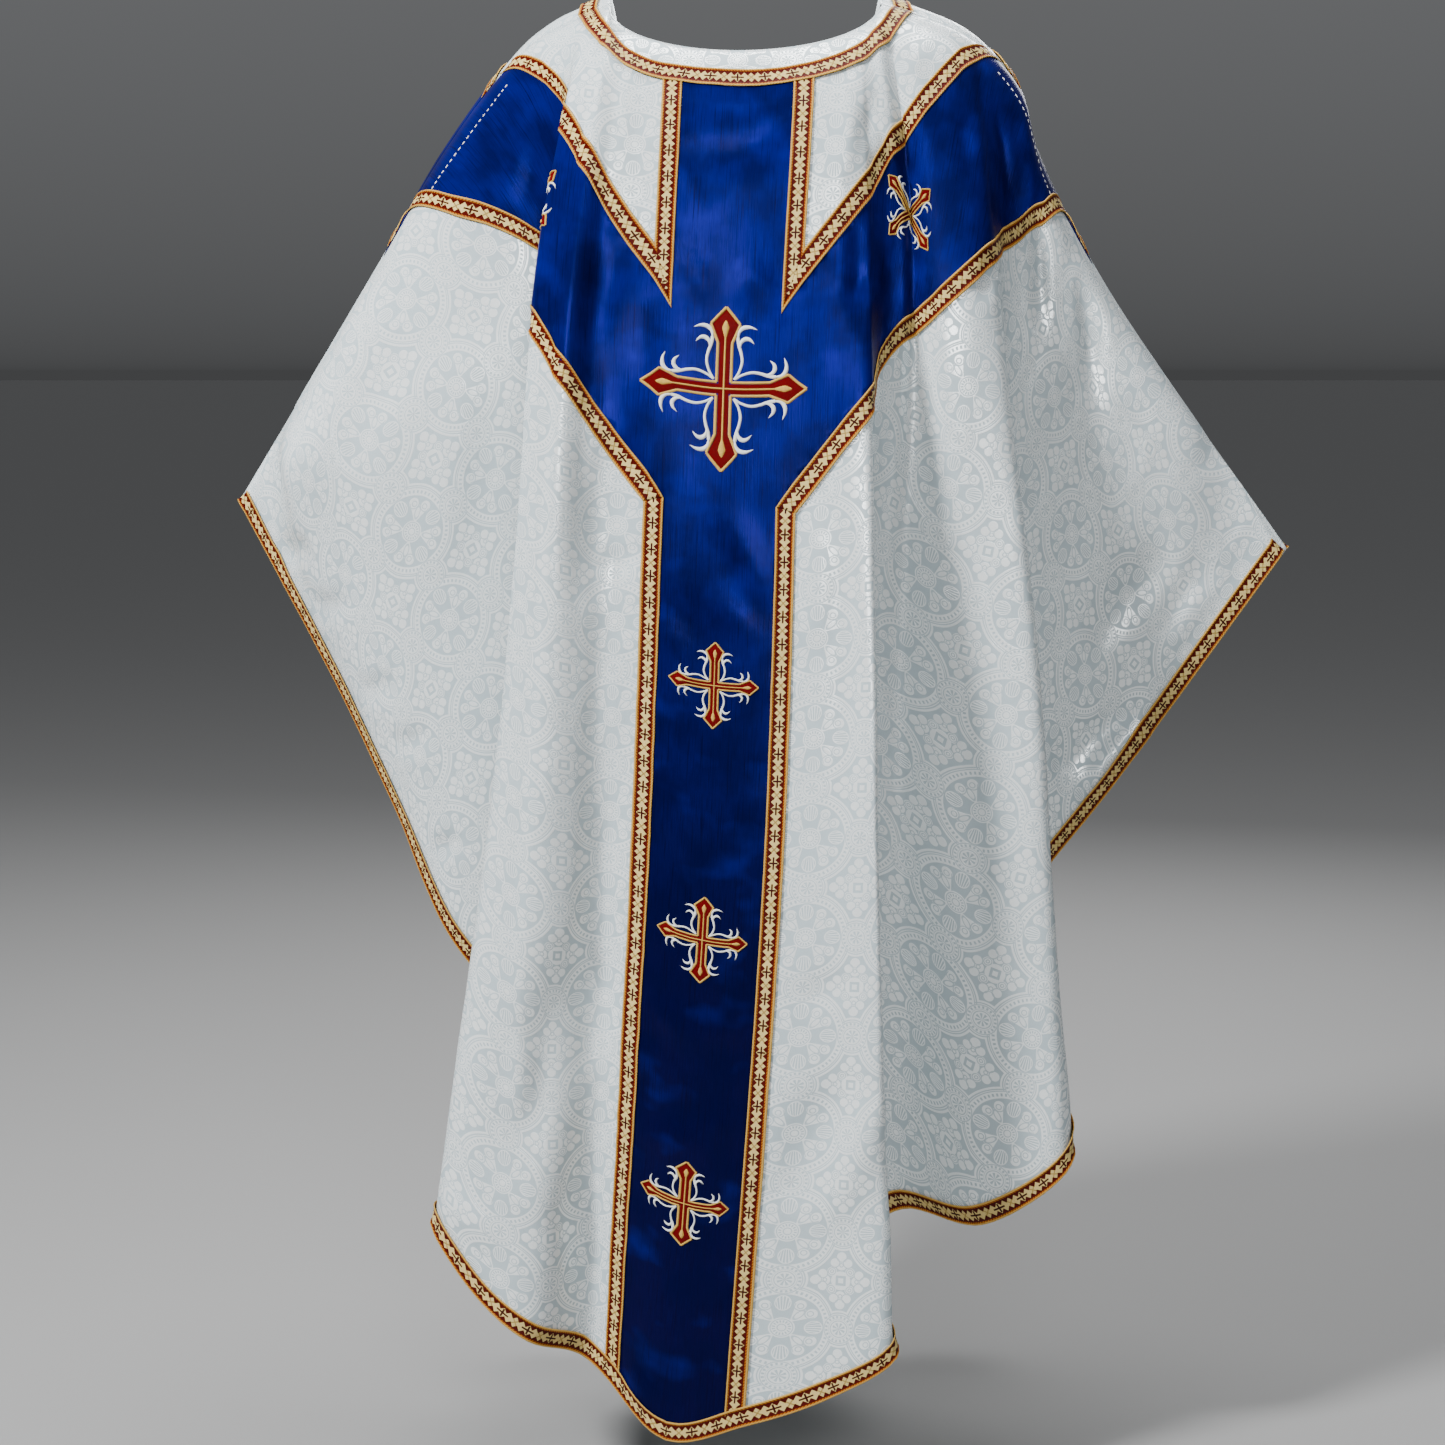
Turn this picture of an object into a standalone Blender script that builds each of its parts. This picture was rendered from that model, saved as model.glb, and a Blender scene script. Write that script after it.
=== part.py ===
"""Gothic chasuble, filled out as if worn, with nobody in it.

The vestment is cut like a poncho: a back and a front of white damask, joined
along the two shoulder seams and open down both sides.  A blue Y-shaped orphrey
lies on each panel, galloon covers the joins and the edges, and embroidered
crosses lie on the back orphrey.

Each panel is known twice, point by point: where the point lies in the flat cut
(across, down) and where it hangs on the body.  Everything sewn on a panel is cut
from the panel's own triangles in the flat and then moved out from the worn cloth.

Units are metres, +Z is up, and the back faces -Y.  The origin is on the shoulder
line, midway between the two neck points, where the wearer's neck holds it.
"""
import math
from collections import namedtuple

import bmesh
import bpy
import numpy as np
from mathutils import Vector

# Flat cut of a panel
HALF_WIDTH = 0.724           # centre to the wrist point
NECK_HALF = 0.122            # centre to the neck point
SEAM_SLOPE = math.radians(20)
CENTRE_LENGTH = 1.335        # neck point level to the point of the hem
HEM_ROUNDNESS = (1.3, 2.5)   # powers of the curve that bounds hem and side
TIP_DROP = (HALF_WIDTH - NECK_HALF) * math.tan(SEAM_SLOPE)
SEAM_LENGTH = (HALF_WIDTH - NECK_HALF) / math.cos(SEAM_SLOPE)

# Cloth and trim
CLOTH = 0.0015
ORPHREY_CLOTH = 0.0006
GALLOON_CLOTH = 0.0010
CROSS_CLOTH = 0.0008
SEAM_GAP = 0.0003
GALLOON = 0.018              # width of the woven trim

# Orphrey, in the flat
COLUMN_HALF = 0.049          # blue, between the galloons
FORK_DOWN = 0.325            # depth of the two points where column and arm part
ELBOW_DOWN = 0.496           # depth of the two corners where column and arm meet
ArmEdge = namedtuple("ArmEdge", "lean sag")   # sag is how far it bends downwards
UPPER_EDGE = ArmEdge(math.radians(34), 0.0)
LOWER_EDGE = ArmEdge(math.radians(38.5), -0.006)
ARM_RUN = 0.40               # length over which an edge bends
ARM_REACH = 0.60             # long enough to pass the shoulder seam
ARM_STEPS = 8                # corners of an edge in the solids
NECK_STEPS = 11              # corners of the neck galloon's sides
NECK_TURN = math.radians(101)    # each way from the centre, past the shoulder seams
NECK_SQUARE = 2.5            # 2 would make the neck galloon a true oval
NECK_MARGIN = (0.012, 0.024)  # white left outside the neck galloon: side, centre

# Grid of a panel
ROWS = 16
COLUMN_STEP = 0.075          # greatest width of one column at the hem
TIP_RUN = 0.12               # stretch of seam that closes the grid at the wrist
TOP_CROWDING = 1.15          # above 1, rows are closer over the shoulder
STATIONS = (0.20, 0.58)      # chest and knee, as shares of a line's drop
EDGE_SAMPLES = 600           # of the hem curve, closer together near its point
EDGE_CROWDING = 1.2
PATH_SAMPLES = 40            # between two points of a path whose length is measured

# Shoulder seam as worn: distance from the neck point, then the place seen from the
# front.  Each seam hangs in one upright plane, which swings forward by SEAM_SWING.
SeamPoint = namedtuple("SeamPoint", "along x z")
SEAM_LEFT = [
    SeamPoint(0.000, -0.125, 0.000),
    SeamPoint(0.075, -0.192, -0.030),
    SeamPoint(0.118, -0.225, -0.060),
    SeamPoint(0.213, -0.285, -0.136),
    SeamPoint(0.345, -0.356, -0.250),
    SeamPoint(0.640, -0.493, -0.467),
]
SEAM_RIGHT = [
    SeamPoint(0.000, 0.127, 0.000),
    SeamPoint(0.075, 0.197, -0.024),
    SeamPoint(0.116, 0.233, -0.049),
    SeamPoint(0.156, 0.259, -0.082),
    SeamPoint(0.212, 0.275, -0.138),
    SeamPoint(0.345, 0.341, -0.262),
    SeamPoint(0.640, 0.517, -0.508),
]
SEAM_SWING = {-1: -0.20, 1: -0.03}   # forward for each metre to the right

# A fold line runs from the top edge to the hem or the side edge.
#   top    flat distance across, at the top edge
#   edge   distance along the hem and side from the point of the hem
#   x, out place across and distance out from the shoulder line, at chest, knee, hem
# Across counts to the right as one looks at that panel from outside.
Fold = namedtuple("Fold", "name top edge chest_x chest_out knee_x knee_out hem_x hem_out hem_z")

BACK_FOLDS = [
    Fold("wrist left", -0.610, -1.270, -0.435, 0.000, -0.423, -0.025, -0.405, -0.055, -0.627),
    Fold("forearm left", -0.500, -1.100, -0.385, 0.010, -0.365, 0.000, -0.337, -0.035, -0.768),
    Fold("elbow left", -0.400, -0.960, -0.300, 0.030, -0.295, 0.010, -0.285, -0.020, -0.890),
    Fold("under arm left", -0.300, -0.840, -0.222, 0.033, -0.215, 0.015, -0.205, 0.000, -0.975),
    Fold("fold turn left", -0.215, -0.700, -0.165, 0.035, -0.130, 0.020, -0.110, 0.020, -1.060),
    Fold("fold depth left", -0.175, -0.570, -0.148, 0.050, -0.092, 0.050, -0.062, 0.060, -1.115),
    Fold("fold return left", -0.158, -0.430, -0.160, 0.072, -0.150, 0.090, -0.170, 0.105, -1.135),
    Fold("crest inside left", -0.149, -0.310, -0.178, 0.095, -0.211, 0.115, -0.272, 0.122, -1.132),
    Fold("crest left", -0.140, -0.272, -0.184, 0.115, -0.222, 0.145, -0.288, 0.155, -1.126),
    Fold("outer left", -0.122, -0.215, -0.161, 0.126, -0.195, 0.168, -0.245, 0.192, -1.185),
    Fold("body left", -0.103, -0.165, -0.135, 0.127, -0.160, 0.168, -0.200, 0.203, -1.222),
    Fold("trough left", -0.086, -0.110, -0.110, 0.127, -0.127, 0.150, -0.156, 0.165, -1.246),
    Fold("column left", -0.067, -0.073, -0.083, 0.130, -0.100, 0.163, -0.131, 0.170, -1.262),
    Fold("centre", 0.000, 0.000, -0.017, 0.134, -0.034, 0.187, -0.071, 0.210, -1.313),
    Fold("column right", 0.067, 0.073, 0.050, 0.137, 0.033, 0.197, 0.001, 0.222, -1.296),
    Fold("body right", 0.085, 0.130, 0.079, 0.137, 0.074, 0.205, 0.072, 0.232, -1.268),
    Fold("crest right", 0.104, 0.205, 0.111, 0.130, 0.119, 0.215, 0.136, 0.240, -1.224),
    Fold("crest inside right", 0.107, 0.235, 0.117, 0.121, 0.109, 0.185, 0.122, 0.207, -1.205),
    Fold("fold depth right", 0.111, 0.330, 0.128, 0.110, 0.090, 0.128, 0.086, 0.140, -1.165),
    Fold("side inner right", 0.117, 0.430, 0.145, 0.104, 0.128, 0.102, 0.150, 0.100, -1.128),
    Fold("side right", 0.152, 0.530, 0.176, 0.101, 0.200, 0.115, 0.225, 0.130, -1.134),
    Fold("side crest right", 0.198, 0.630, 0.224, 0.090, 0.271, 0.125, 0.304, 0.140, -1.073),
    Fold("side crest inside", 0.209, 0.665, 0.233, 0.072, 0.264, 0.092, 0.293, 0.102, -1.045),
    Fold("under arm right", 0.260, 0.800, 0.246, 0.048, 0.215, 0.045, 0.170, 0.045, -1.020),
    Fold("elbow right", 0.360, 0.995, 0.300, 0.038, 0.290, 0.025, 0.270, 0.000, -0.850),
    Fold("forearm right", 0.450, 1.135, 0.345, 0.030, 0.350, 0.020, 0.345, 0.000, -0.752),
    Fold("wrist right", 0.590, 1.285, 0.422, 0.022, 0.430, 0.015, 0.429, 0.000, -0.635),
]

FRONT_FOLDS = [
    Fold("wrist left", -0.600, -1.280, -0.425, 0.035, -0.430, 0.050, -0.425, 0.062, -0.640),
    Fold("forearm left", -0.455, -1.130, -0.350, 0.050, -0.355, 0.070, -0.345, 0.080, -0.765),
    Fold("elbow left", -0.370, -0.980, -0.300, 0.055, -0.295, 0.075, -0.265, 0.085, -0.875),
    Fold("fold turn left", -0.270, -0.780, -0.215, 0.056, -0.145, 0.050, -0.095, 0.052, -1.030),
    Fold("fold depth left", -0.235, -0.690, -0.178, 0.075, -0.090, 0.075, -0.035, 0.082, -1.090),
    Fold("fold return left", -0.218, -0.560, -0.192, 0.095, -0.165, 0.103, -0.160, 0.115, -1.120),
    Fold("crest inside left", -0.208, -0.480, -0.214, 0.108, -0.242, 0.120, -0.268, 0.128, -1.110),
    Fold("crest left", -0.198, -0.440, -0.214, 0.122, -0.248, 0.146, -0.280, 0.160, -1.112),
    Fold("outer left", -0.170, -0.365, -0.190, 0.134, -0.213, 0.166, -0.235, 0.186, -1.140),
    Fold("body left", -0.140, -0.265, -0.152, 0.140, -0.160, 0.165, -0.162, 0.180, -1.195),
    Fold("neck point left", -0.122, -0.190, -0.122, 0.140, -0.124, 0.148, -0.126, 0.152, -1.250),
    Fold("column left", -0.067, -0.073, -0.067, 0.145, -0.066, 0.168, -0.064, 0.180, -1.292),
    Fold("centre", 0.000, 0.000, 0.000, 0.150, 0.004, 0.180, 0.006, 0.194, -1.318),
    Fold("column right", 0.067, 0.073, 0.067, 0.145, 0.071, 0.172, 0.073, 0.182, -1.294),
    Fold("neck point right", 0.122, 0.170, 0.120, 0.140, 0.118, 0.160, 0.120, 0.165, -1.262),
    Fold("body right", 0.145, 0.250, 0.150, 0.138, 0.156, 0.170, 0.168, 0.186, -1.228),
    Fold("crest right", 0.168, 0.320, 0.180, 0.126, 0.206, 0.155, 0.228, 0.170, -1.180),
    Fold("crest inside right", 0.178, 0.355, 0.182, 0.108, 0.200, 0.126, 0.216, 0.136, -1.162),
    Fold("fold depth right", 0.196, 0.480, 0.155, 0.088, 0.090, 0.088, 0.045, 0.092, -1.140),
    Fold("side inner right", 0.225, 0.620, 0.205, 0.066, 0.175, 0.060, 0.150, 0.058, -1.075),
    Fold("side right", 0.280, 0.760, 0.250, 0.075, 0.262, 0.082, 0.240, 0.086, -0.955),
    Fold("elbow right", 0.360, 0.860, 0.300, 0.068, 0.304, 0.085, 0.292, 0.088, -0.850),
    Fold("forearm right", 0.490, 1.080, 0.385, 0.078, 0.366, 0.096, 0.345, 0.104, -0.740),
    Fold("wrist right", 0.610, 1.260, 0.438, 0.090, 0.425, 0.108, 0.408, 0.120, -0.630),
]

# A panel: which way it faces, its neckline in the flat and worn, how steeply it
# rises where it leaves the shoulder seam, and its folds.
Cut = namedtuple("Cut", "facing neck_depth rim_out rim_drop rim_lean rim_shift seam_rise folds")
BACK = Cut(-1, 0.075, 0.060, 0.049, 0.80, -0.006, -0.15, BACK_FOLDS)
FRONT = Cut(1, 0.125, 0.078, 0.100, 0.90, 0.0, 0.70, FRONT_FOLDS)
SHOULDER_ROUND = 0.9         # how long the cloth keeps level as it leaves the seam

# Crosses on the back orphrey: centre in the flat, half size, turn clockwise.
Cross = namedtuple("Cross", "name across down half turn")
CROSSES = [
    Cross("cross_large", 0.0, 0.392, 0.073, 0.0),
    Cross("cross_column_1", 0.0, 0.654, 0.038, 0.0),
    Cross("cross_column_2", 0.0, 0.880, 0.038, 0.0),
    Cross("cross_column_3", 0.0, 1.118, 0.038, 0.0),
    Cross("cross_arm_left", -0.181, 0.234, 0.038, -math.radians(40)),
    Cross("cross_arm_right", 0.172, 0.221, 0.038, math.radians(40)),
]
BAR_HALF = 0.080             # half width of a cross bar, as a share of its half size
FLARE_HALF = 0.17            # half width of the pointed head
FLARE_FROM = 0.56            # where the bar starts to widen
FLARE_AT = 0.79              # where the head is widest

WHITE = ("white damask", (0.82, 0.87, 0.88), 0.45, 0.0)
BLUE = ("blue satin", (0.012, 0.03, 0.52), 0.35, 0.0)
GOLD = ("galloon", (0.72, 0.47, 0.13), 0.45, 0.2)
RED = ("embroidery", (0.50, 0.05, 0.03), 0.50, 0.0)


def smooth_path(points, at, first=None):
    """Point on a smooth path through points; at counts in points (1.5 is midway
    between the second and the third).  first is the path's direction at its start."""
    points = np.asarray(points, float)
    steps = np.linalg.norm(np.diff(points, axis=0), axis=1) ** 0.5 + 1e-9
    slopes = np.diff(points, axis=0) / steps[:, None]
    tangents = np.empty_like(points)
    tangents[0], tangents[-1] = slopes[0], slopes[-1]
    share = (steps[:-1] / (steps[:-1] + steps[1:]))[:, None]
    tangents[1:-1] = (1 - share) * slopes[:-1] + share * slopes[1:]
    if first is not None:
        tangents[0] = np.asarray(first) * np.linalg.norm(slopes[0])
    at = np.clip(np.asarray(at, float), 0, len(points) - 1 - 1e-9)
    span = at.astype(int)
    f = (at - span)[:, None]
    reach = steps[span][:, None]
    start, end = points[span], points[span + 1]
    return ((2 * f**3 - 3 * f**2 + 1) * start + (3 * f**2 - 2 * f**3) * end
            + (f**3 - 2 * f**2 + f) * reach * tangents[span]
            + (f**3 - f**2) * reach * tangents[span + 1])


def even_path(points, shares, first=None):
    """Points on a smooth path at the given shares of its length."""
    at = np.linspace(0, len(points) - 1, PATH_SAMPLES * (len(points) - 1) + 1)
    fine = smooth_path(points, at, first)
    run = np.concatenate([[0], np.cumsum(np.linalg.norm(np.diff(fine, axis=0), axis=1))])
    return np.stack([np.interp(np.asarray(shares) * run[-1], run, fine[:, k])
                     for k in range(3)], axis=1)


def even_spans(points, at):
    """Points on a smooth path, evenly spaced between one given point and the next."""
    spans = len(points) - 1
    fine = smooth_path(points, np.linspace(0, spans, PATH_SAMPLES * spans + 1))
    run = np.concatenate([[0], np.cumsum(np.linalg.norm(np.diff(fine, axis=0), axis=1))])
    stops = np.interp(at, range(spans + 1), run[::PATH_SAMPLES])
    return np.stack([np.interp(stops, run, fine[:, k]) for k in range(3)], axis=1)


def seam_worn(side, along):
    """Place of the shoulder seam at a distance from the neck point."""
    line = SEAM_LEFT if side < 0 else SEAM_RIGHT
    places = np.array([(p.x, SEAM_SWING[side] * (p.x - line[0].x), p.z) for p in line])
    at = np.interp(along, [p.along for p in line], range(len(line)))
    return smooth_path(places, np.atleast_1d(at))[0]


def edge_table():
    """Half of the hem and side edge in the flat, with distances from its point."""
    turn = np.linspace(0, math.pi / 2, EDGE_SAMPLES)
    across = HALF_WIDTH * np.sin(turn) ** EDGE_CROWDING
    first, second = HEM_ROUNDNESS
    rest = np.clip(1 - (across / HALF_WIDTH) ** first, 0, 1)
    down = TIP_DROP + (CENTRE_LENGTH - TIP_DROP) * rest ** (1 / second)
    run = np.concatenate([[0], np.cumsum(np.hypot(np.diff(across), np.diff(down)))])
    return run, across, down


EDGE_RUN, EDGE_ACROSS, EDGE_DOWN = edge_table()
EDGE_LENGTH = EDGE_RUN[-1]


def edge_flat(distance):
    """Flat place on the hem or side edge, the direction into the cloth and along it."""
    def place(d):
        across = np.interp(abs(d), EDGE_RUN, EDGE_ACROSS)
        return np.array([math.copysign(across, d), np.interp(abs(d), EDGE_RUN, EDGE_DOWN)])

    reach = 0.004
    limit = EDGE_LENGTH - reach
    middle = max(-limit, min(limit, distance))
    along = place(middle + reach) - place(middle - reach)
    along /= np.linalg.norm(along)
    return place(distance), np.array([along[1], -along[0]]), along


def top_flat(cut, across):
    """Flat place on the neckline or the shoulder seam."""
    share = min(abs(across) / NECK_HALF, 1.0)
    neck = cut.neck_depth * math.sqrt(1 - share ** 2)
    seam = max(abs(across) - NECK_HALF, 0.0) * math.tan(SEAM_SLOPE)
    return np.array([across, neck + seam])


def top_worn(cut, across):
    """Worn place on the top edge, and the direction in which the cloth leaves it."""
    side = 1 if -cut.facing * across > 0 else -1
    if abs(across) >= NECK_HALF:
        place = seam_worn(side, (abs(across) - NECK_HALF) / math.cos(SEAM_SLOPE))
        place[1] += cut.facing * SEAM_GAP / 2
        return place, np.array([0.0, cut.facing * SHOULDER_ROUND, cut.seam_rise])
    share = abs(across) / NECK_HALF
    dip = math.sqrt(1 - share ** 2)
    place = seam_worn(side, 0.0)
    place[0] = place[0] * share + cut.rim_shift * dip
    place[1] = cut.facing * (SEAM_GAP / 2 + cut.rim_out * dip)
    place[2] = -cut.rim_drop * dip
    lean = cut.rim_lean * dip
    leave = np.array([0.0, cut.facing * math.cos(lean), -math.sin(lean)])
    return place, leave * SHOULDER_ROUND


def row_shares():
    """Shares of a line's length at which the rows lie, the last before the edge."""
    return np.linspace(0, 1, ROWS) ** TOP_CROWDING


def worn_line(cut, fold, neighbours):
    """Points of one fold line as worn, down to the galloon's inner side, then the edge."""
    def place(x, out, z):
        return np.array([-cut.facing * x, cut.facing * out, z])

    before, after = neighbours
    top, leave = top_worn(cut, fold.top)
    hem = place(fold.hem_x, fold.hem_out, fold.hem_z)
    heights = [top[2] + (hem[2] - top[2]) * k for k in STATIONS]
    chest = place(fold.chest_x, fold.chest_out, heights[0])
    knee = place(fold.knee_x, fold.knee_out, heights[1])
    flat_hem, inward, along = edge_flat(fold.edge)
    flat_top = top_flat(cut, fold.top)
    rise = (flat_top - flat_hem) / np.linalg.norm(flat_top - flat_hem)
    up, aside = np.linalg.solve(np.stack([rise, along], axis=1), inward * GALLOON)
    rise_worn = (knee - hem) / np.linalg.norm(knee - hem)
    along_worn = place(after.hem_x - before.hem_x, after.hem_out - before.hem_out,
                       after.hem_z - before.hem_z)
    along_worn /= np.linalg.norm(along_worn)
    inner = hem + up * rise_worn + aside * along_worn
    line = even_path([top, chest, knee, inner], row_shares(), leave)
    return np.vstack([line, hem])


def tip_line(cut, side):
    """The last stretch of the shoulder seam, which closes the panel at the wrist."""
    start = SEAM_LENGTH - TIP_RUN
    stops = start + row_shares() * (TIP_RUN - GALLOON)
    line = [seam_worn(-cut.facing * side, s) for s in (*stops, SEAM_LENGTH)]
    return np.array(line) + np.array([0, cut.facing * SEAM_GAP / 2, 0])


def flat_line(cut, top, edge):
    """Flat places of the rows of one line."""
    start = top_flat(cut, top)
    hem, inward, _ = edge_flat(edge)
    inner = hem + inward * GALLOON
    if abs(edge) >= EDGE_LENGTH - 1e-6:
        seam = (start - hem) / np.linalg.norm(start - hem)
        inner = hem + seam * GALLOON
    shares = row_shares()[:, None]
    return np.vstack([start + (inner - start) * shares, hem])


def panel_points(cut):
    """Flat and worn places of a whole panel, indexed by column and row."""
    folds = cut.folds
    tip_top = NECK_HALF + (SEAM_LENGTH - TIP_RUN) * math.cos(SEAM_SLOPE)
    tops = [-tip_top] + [f.top for f in folds] + [tip_top]
    edges = [-EDGE_LENGTH] + [f.edge for f in folds] + [EDGE_LENGTH]
    lines = [tip_line(cut, -1)]
    for index, fold in enumerate(folds):
        before = folds[max(index - 1, 0)]
        after = folds[min(index + 1, len(folds) - 1)]
        lines.append(worn_line(cut, fold, (before, after)))
    lines.append(tip_line(cut, 1))
    at = [0.0]
    for index in range(len(lines) - 1):
        count = math.ceil((edges[index + 1] - edges[index]) / COLUMN_STEP)
        at += [index + (k + 1) / count for k in range(count)]
    at = np.array(at)
    rows = [even_spans([line[row] for line in lines], at) for row in range(ROWS + 1)]
    worn = np.stack(rows, axis=1)
    top_at = np.interp(at, range(len(tops)), tops)
    edge_at = np.interp(at, range(len(edges)), edges)
    flat = np.array([flat_line(cut, top, edge) for top, edge in zip(top_at, edge_at)])
    true_top = np.array([top_worn(cut, top)[0] for top in top_at])
    fade = 1 - row_shares()[None, :, None]
    worn[:, :ROWS] += (true_top - worn[:, 0])[:, None] * fade
    return flat, worn


class Panel:
    """A panel's cloth as one open mesh of triangles, lying flat."""

    def __init__(self, cut):
        self.cut = cut
        flat, worn = panel_points(cut)
        self.flat = flat
        columns, rows = flat.shape[0] - 1, flat.shape[1] - 1
        mesh = bmesh.new()
        bmesh.ops.create_grid(mesh, x_segments=columns, y_segments=rows, size=1.0)
        self.worn_layer = mesh.verts.layers.float_vector.new("worn")
        self.out_layer = mesh.verts.layers.float_vector.new("out")
        row_layer = mesh.verts.layers.int.new("row")
        seam = []
        for vert in mesh.verts:
            column = round((vert.co.x + 1) / 2 * columns)
            row = round((1 - vert.co.y) / 2 * rows)
            across, down = flat[column, row]
            vert[self.worn_layer] = worn[column, row]
            vert[row_layer] = row
            vert.co = (across, -down, 0)
            on_top = row == 0 and abs(across) >= NECK_HALF - 1e-6
            if on_top or column in (0, columns):
                seam.append(vert)
        bmesh.ops.triangulate(mesh, faces=mesh.faces[:])
        self.mesh = mesh
        self.set_outward(seam)

    def set_outward(self, seam):
        """Keep at each point the direction that leads out of the worn cloth."""
        flat = [vert.co.copy() for vert in self.mesh.verts]
        for vert in self.mesh.verts:
            vert.co = vert[self.worn_layer]
        self.mesh.normal_update()
        for vert in self.mesh.verts:
            vert[self.out_layer] = vert.normal
        for vert in seam:
            side = 1 if vert.co.x > 0 else -1
            across_plane = Vector((-SEAM_SWING[side], 1, 0)).normalized()
            flush = vert.normal - across_plane * vert.normal.dot(across_plane)
            vert[self.out_layer] = flush.normalized()
        for vert, co in zip(self.mesh.verts, flat):
            vert.co = co

    def hem_band(self):
        """The strip between the last two rows, which the hem galloon covers."""
        piece = self.mesh.copy()
        row = piece.verts.layers.int["row"]
        gone = [f for f in piece.faces if any(v[row] < ROWS - 1 for v in f.verts)]
        bmesh.ops.delete(piece, geom=gone, context="FACES")
        return piece

    def cut_out(self, outline):
        """The part of the panel inside a flat outline, given as (across, down)."""
        piece = self.mesh.copy()
        ring = [Vector((a, -d, 0)) for a, d in outline]
        for start, end in zip(ring, ring[1:] + ring[:1]):
            near = [f for f in piece.faces if touches(f, start, end)]
            geometry = set(near)
            for face in near:
                geometry.update(face.edges)
                geometry.update(face.verts)
            side = (end - start).cross(Vector((0, 0, 1)))
            bmesh.ops.bisect_plane(piece, geom=list(geometry), dist=1e-6,
                                   plane_co=start, plane_no=side.normalized())
        gone = [f for f in piece.faces if not inside(f.calc_center_median(), ring)]
        bmesh.ops.delete(piece, geom=gone, context="FACES")
        return piece

    def thicken(self, piece, near, far):
        """Hang a flat piece on the body and give it its wall, near to far from the cloth."""
        worn = piece.verts.layers.float_vector["worn"]
        out = piece.verts.layers.float_vector["out"]
        for vert in piece.verts:
            vert.co = vert[worn] + vert[out] * near
        bmesh.ops.triangulate(piece, faces=piece.faces[:])
        made = bmesh.ops.extrude_face_region(piece, geom=piece.faces[:], use_keep_orig=True)
        for vert in (v for v in made["geom"] if isinstance(v, bmesh.types.BMVert)):
            vert.co += vert[out] * (far - near)
        bmesh.ops.recalc_face_normals(piece, faces=piece.faces[:])


def touches(face, start, end):
    """Whether a face's box meets the box of a line."""
    margin = 1e-5
    xs = [v.co.x for v in face.verts]
    ys = [v.co.y for v in face.verts]
    return (max(xs) > min(start.x, end.x) - margin and min(xs) < max(start.x, end.x) + margin
            and max(ys) > min(start.y, end.y) - margin and min(ys) < max(start.y, end.y) + margin)


def inside(point, ring):
    """Whether a flat point is inside a closed outline."""
    crossings = 0
    for a, b in zip(ring, ring[1:] + ring[:1]):
        if (a.y > point.y) != (b.y > point.y):
            reach = a.x + (point.y - a.y) / (b.y - a.y) * (b.x - a.x)
            crossings += reach > point.x
    return crossings % 2 == 1


def inset(outline):
    """An outline drawn in by half a seam gap, so that neighbours stay apart."""
    points = [Vector((a, -d)) for a, d in outline]
    area = sum(p.x * q.y - q.x * p.y for p, q in zip(points, points[1:] + points[:1]))
    turn = math.copysign(SEAM_GAP / 2, area)
    result = []
    for index, point in enumerate(points):
        before = (point - points[index - 1]).normalized()
        after = (points[(index + 1) % len(points)] - point).normalized()
        normal = Vector((-before.y, before.x)) + Vector((-after.y, after.x))
        scale = 2 * turn / normal.length_squared
        place = point + normal * scale
        result.append((place.x, -place.y))
    return result


def mirrored(outline, side):
    """The outline itself on the right, its mirror image on the left."""
    return [(a * side, d) for a, d in outline]


def oval(axes, turn):
    """Point on a squarish oval round the neck; turn is the angle from the centre."""
    across, down = (math.copysign(abs(f) ** (2 / NECK_SQUARE), f)
                    for f in (math.sin(turn), math.cos(turn)))
    return axes[0] * across, axes[1] * down


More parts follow.
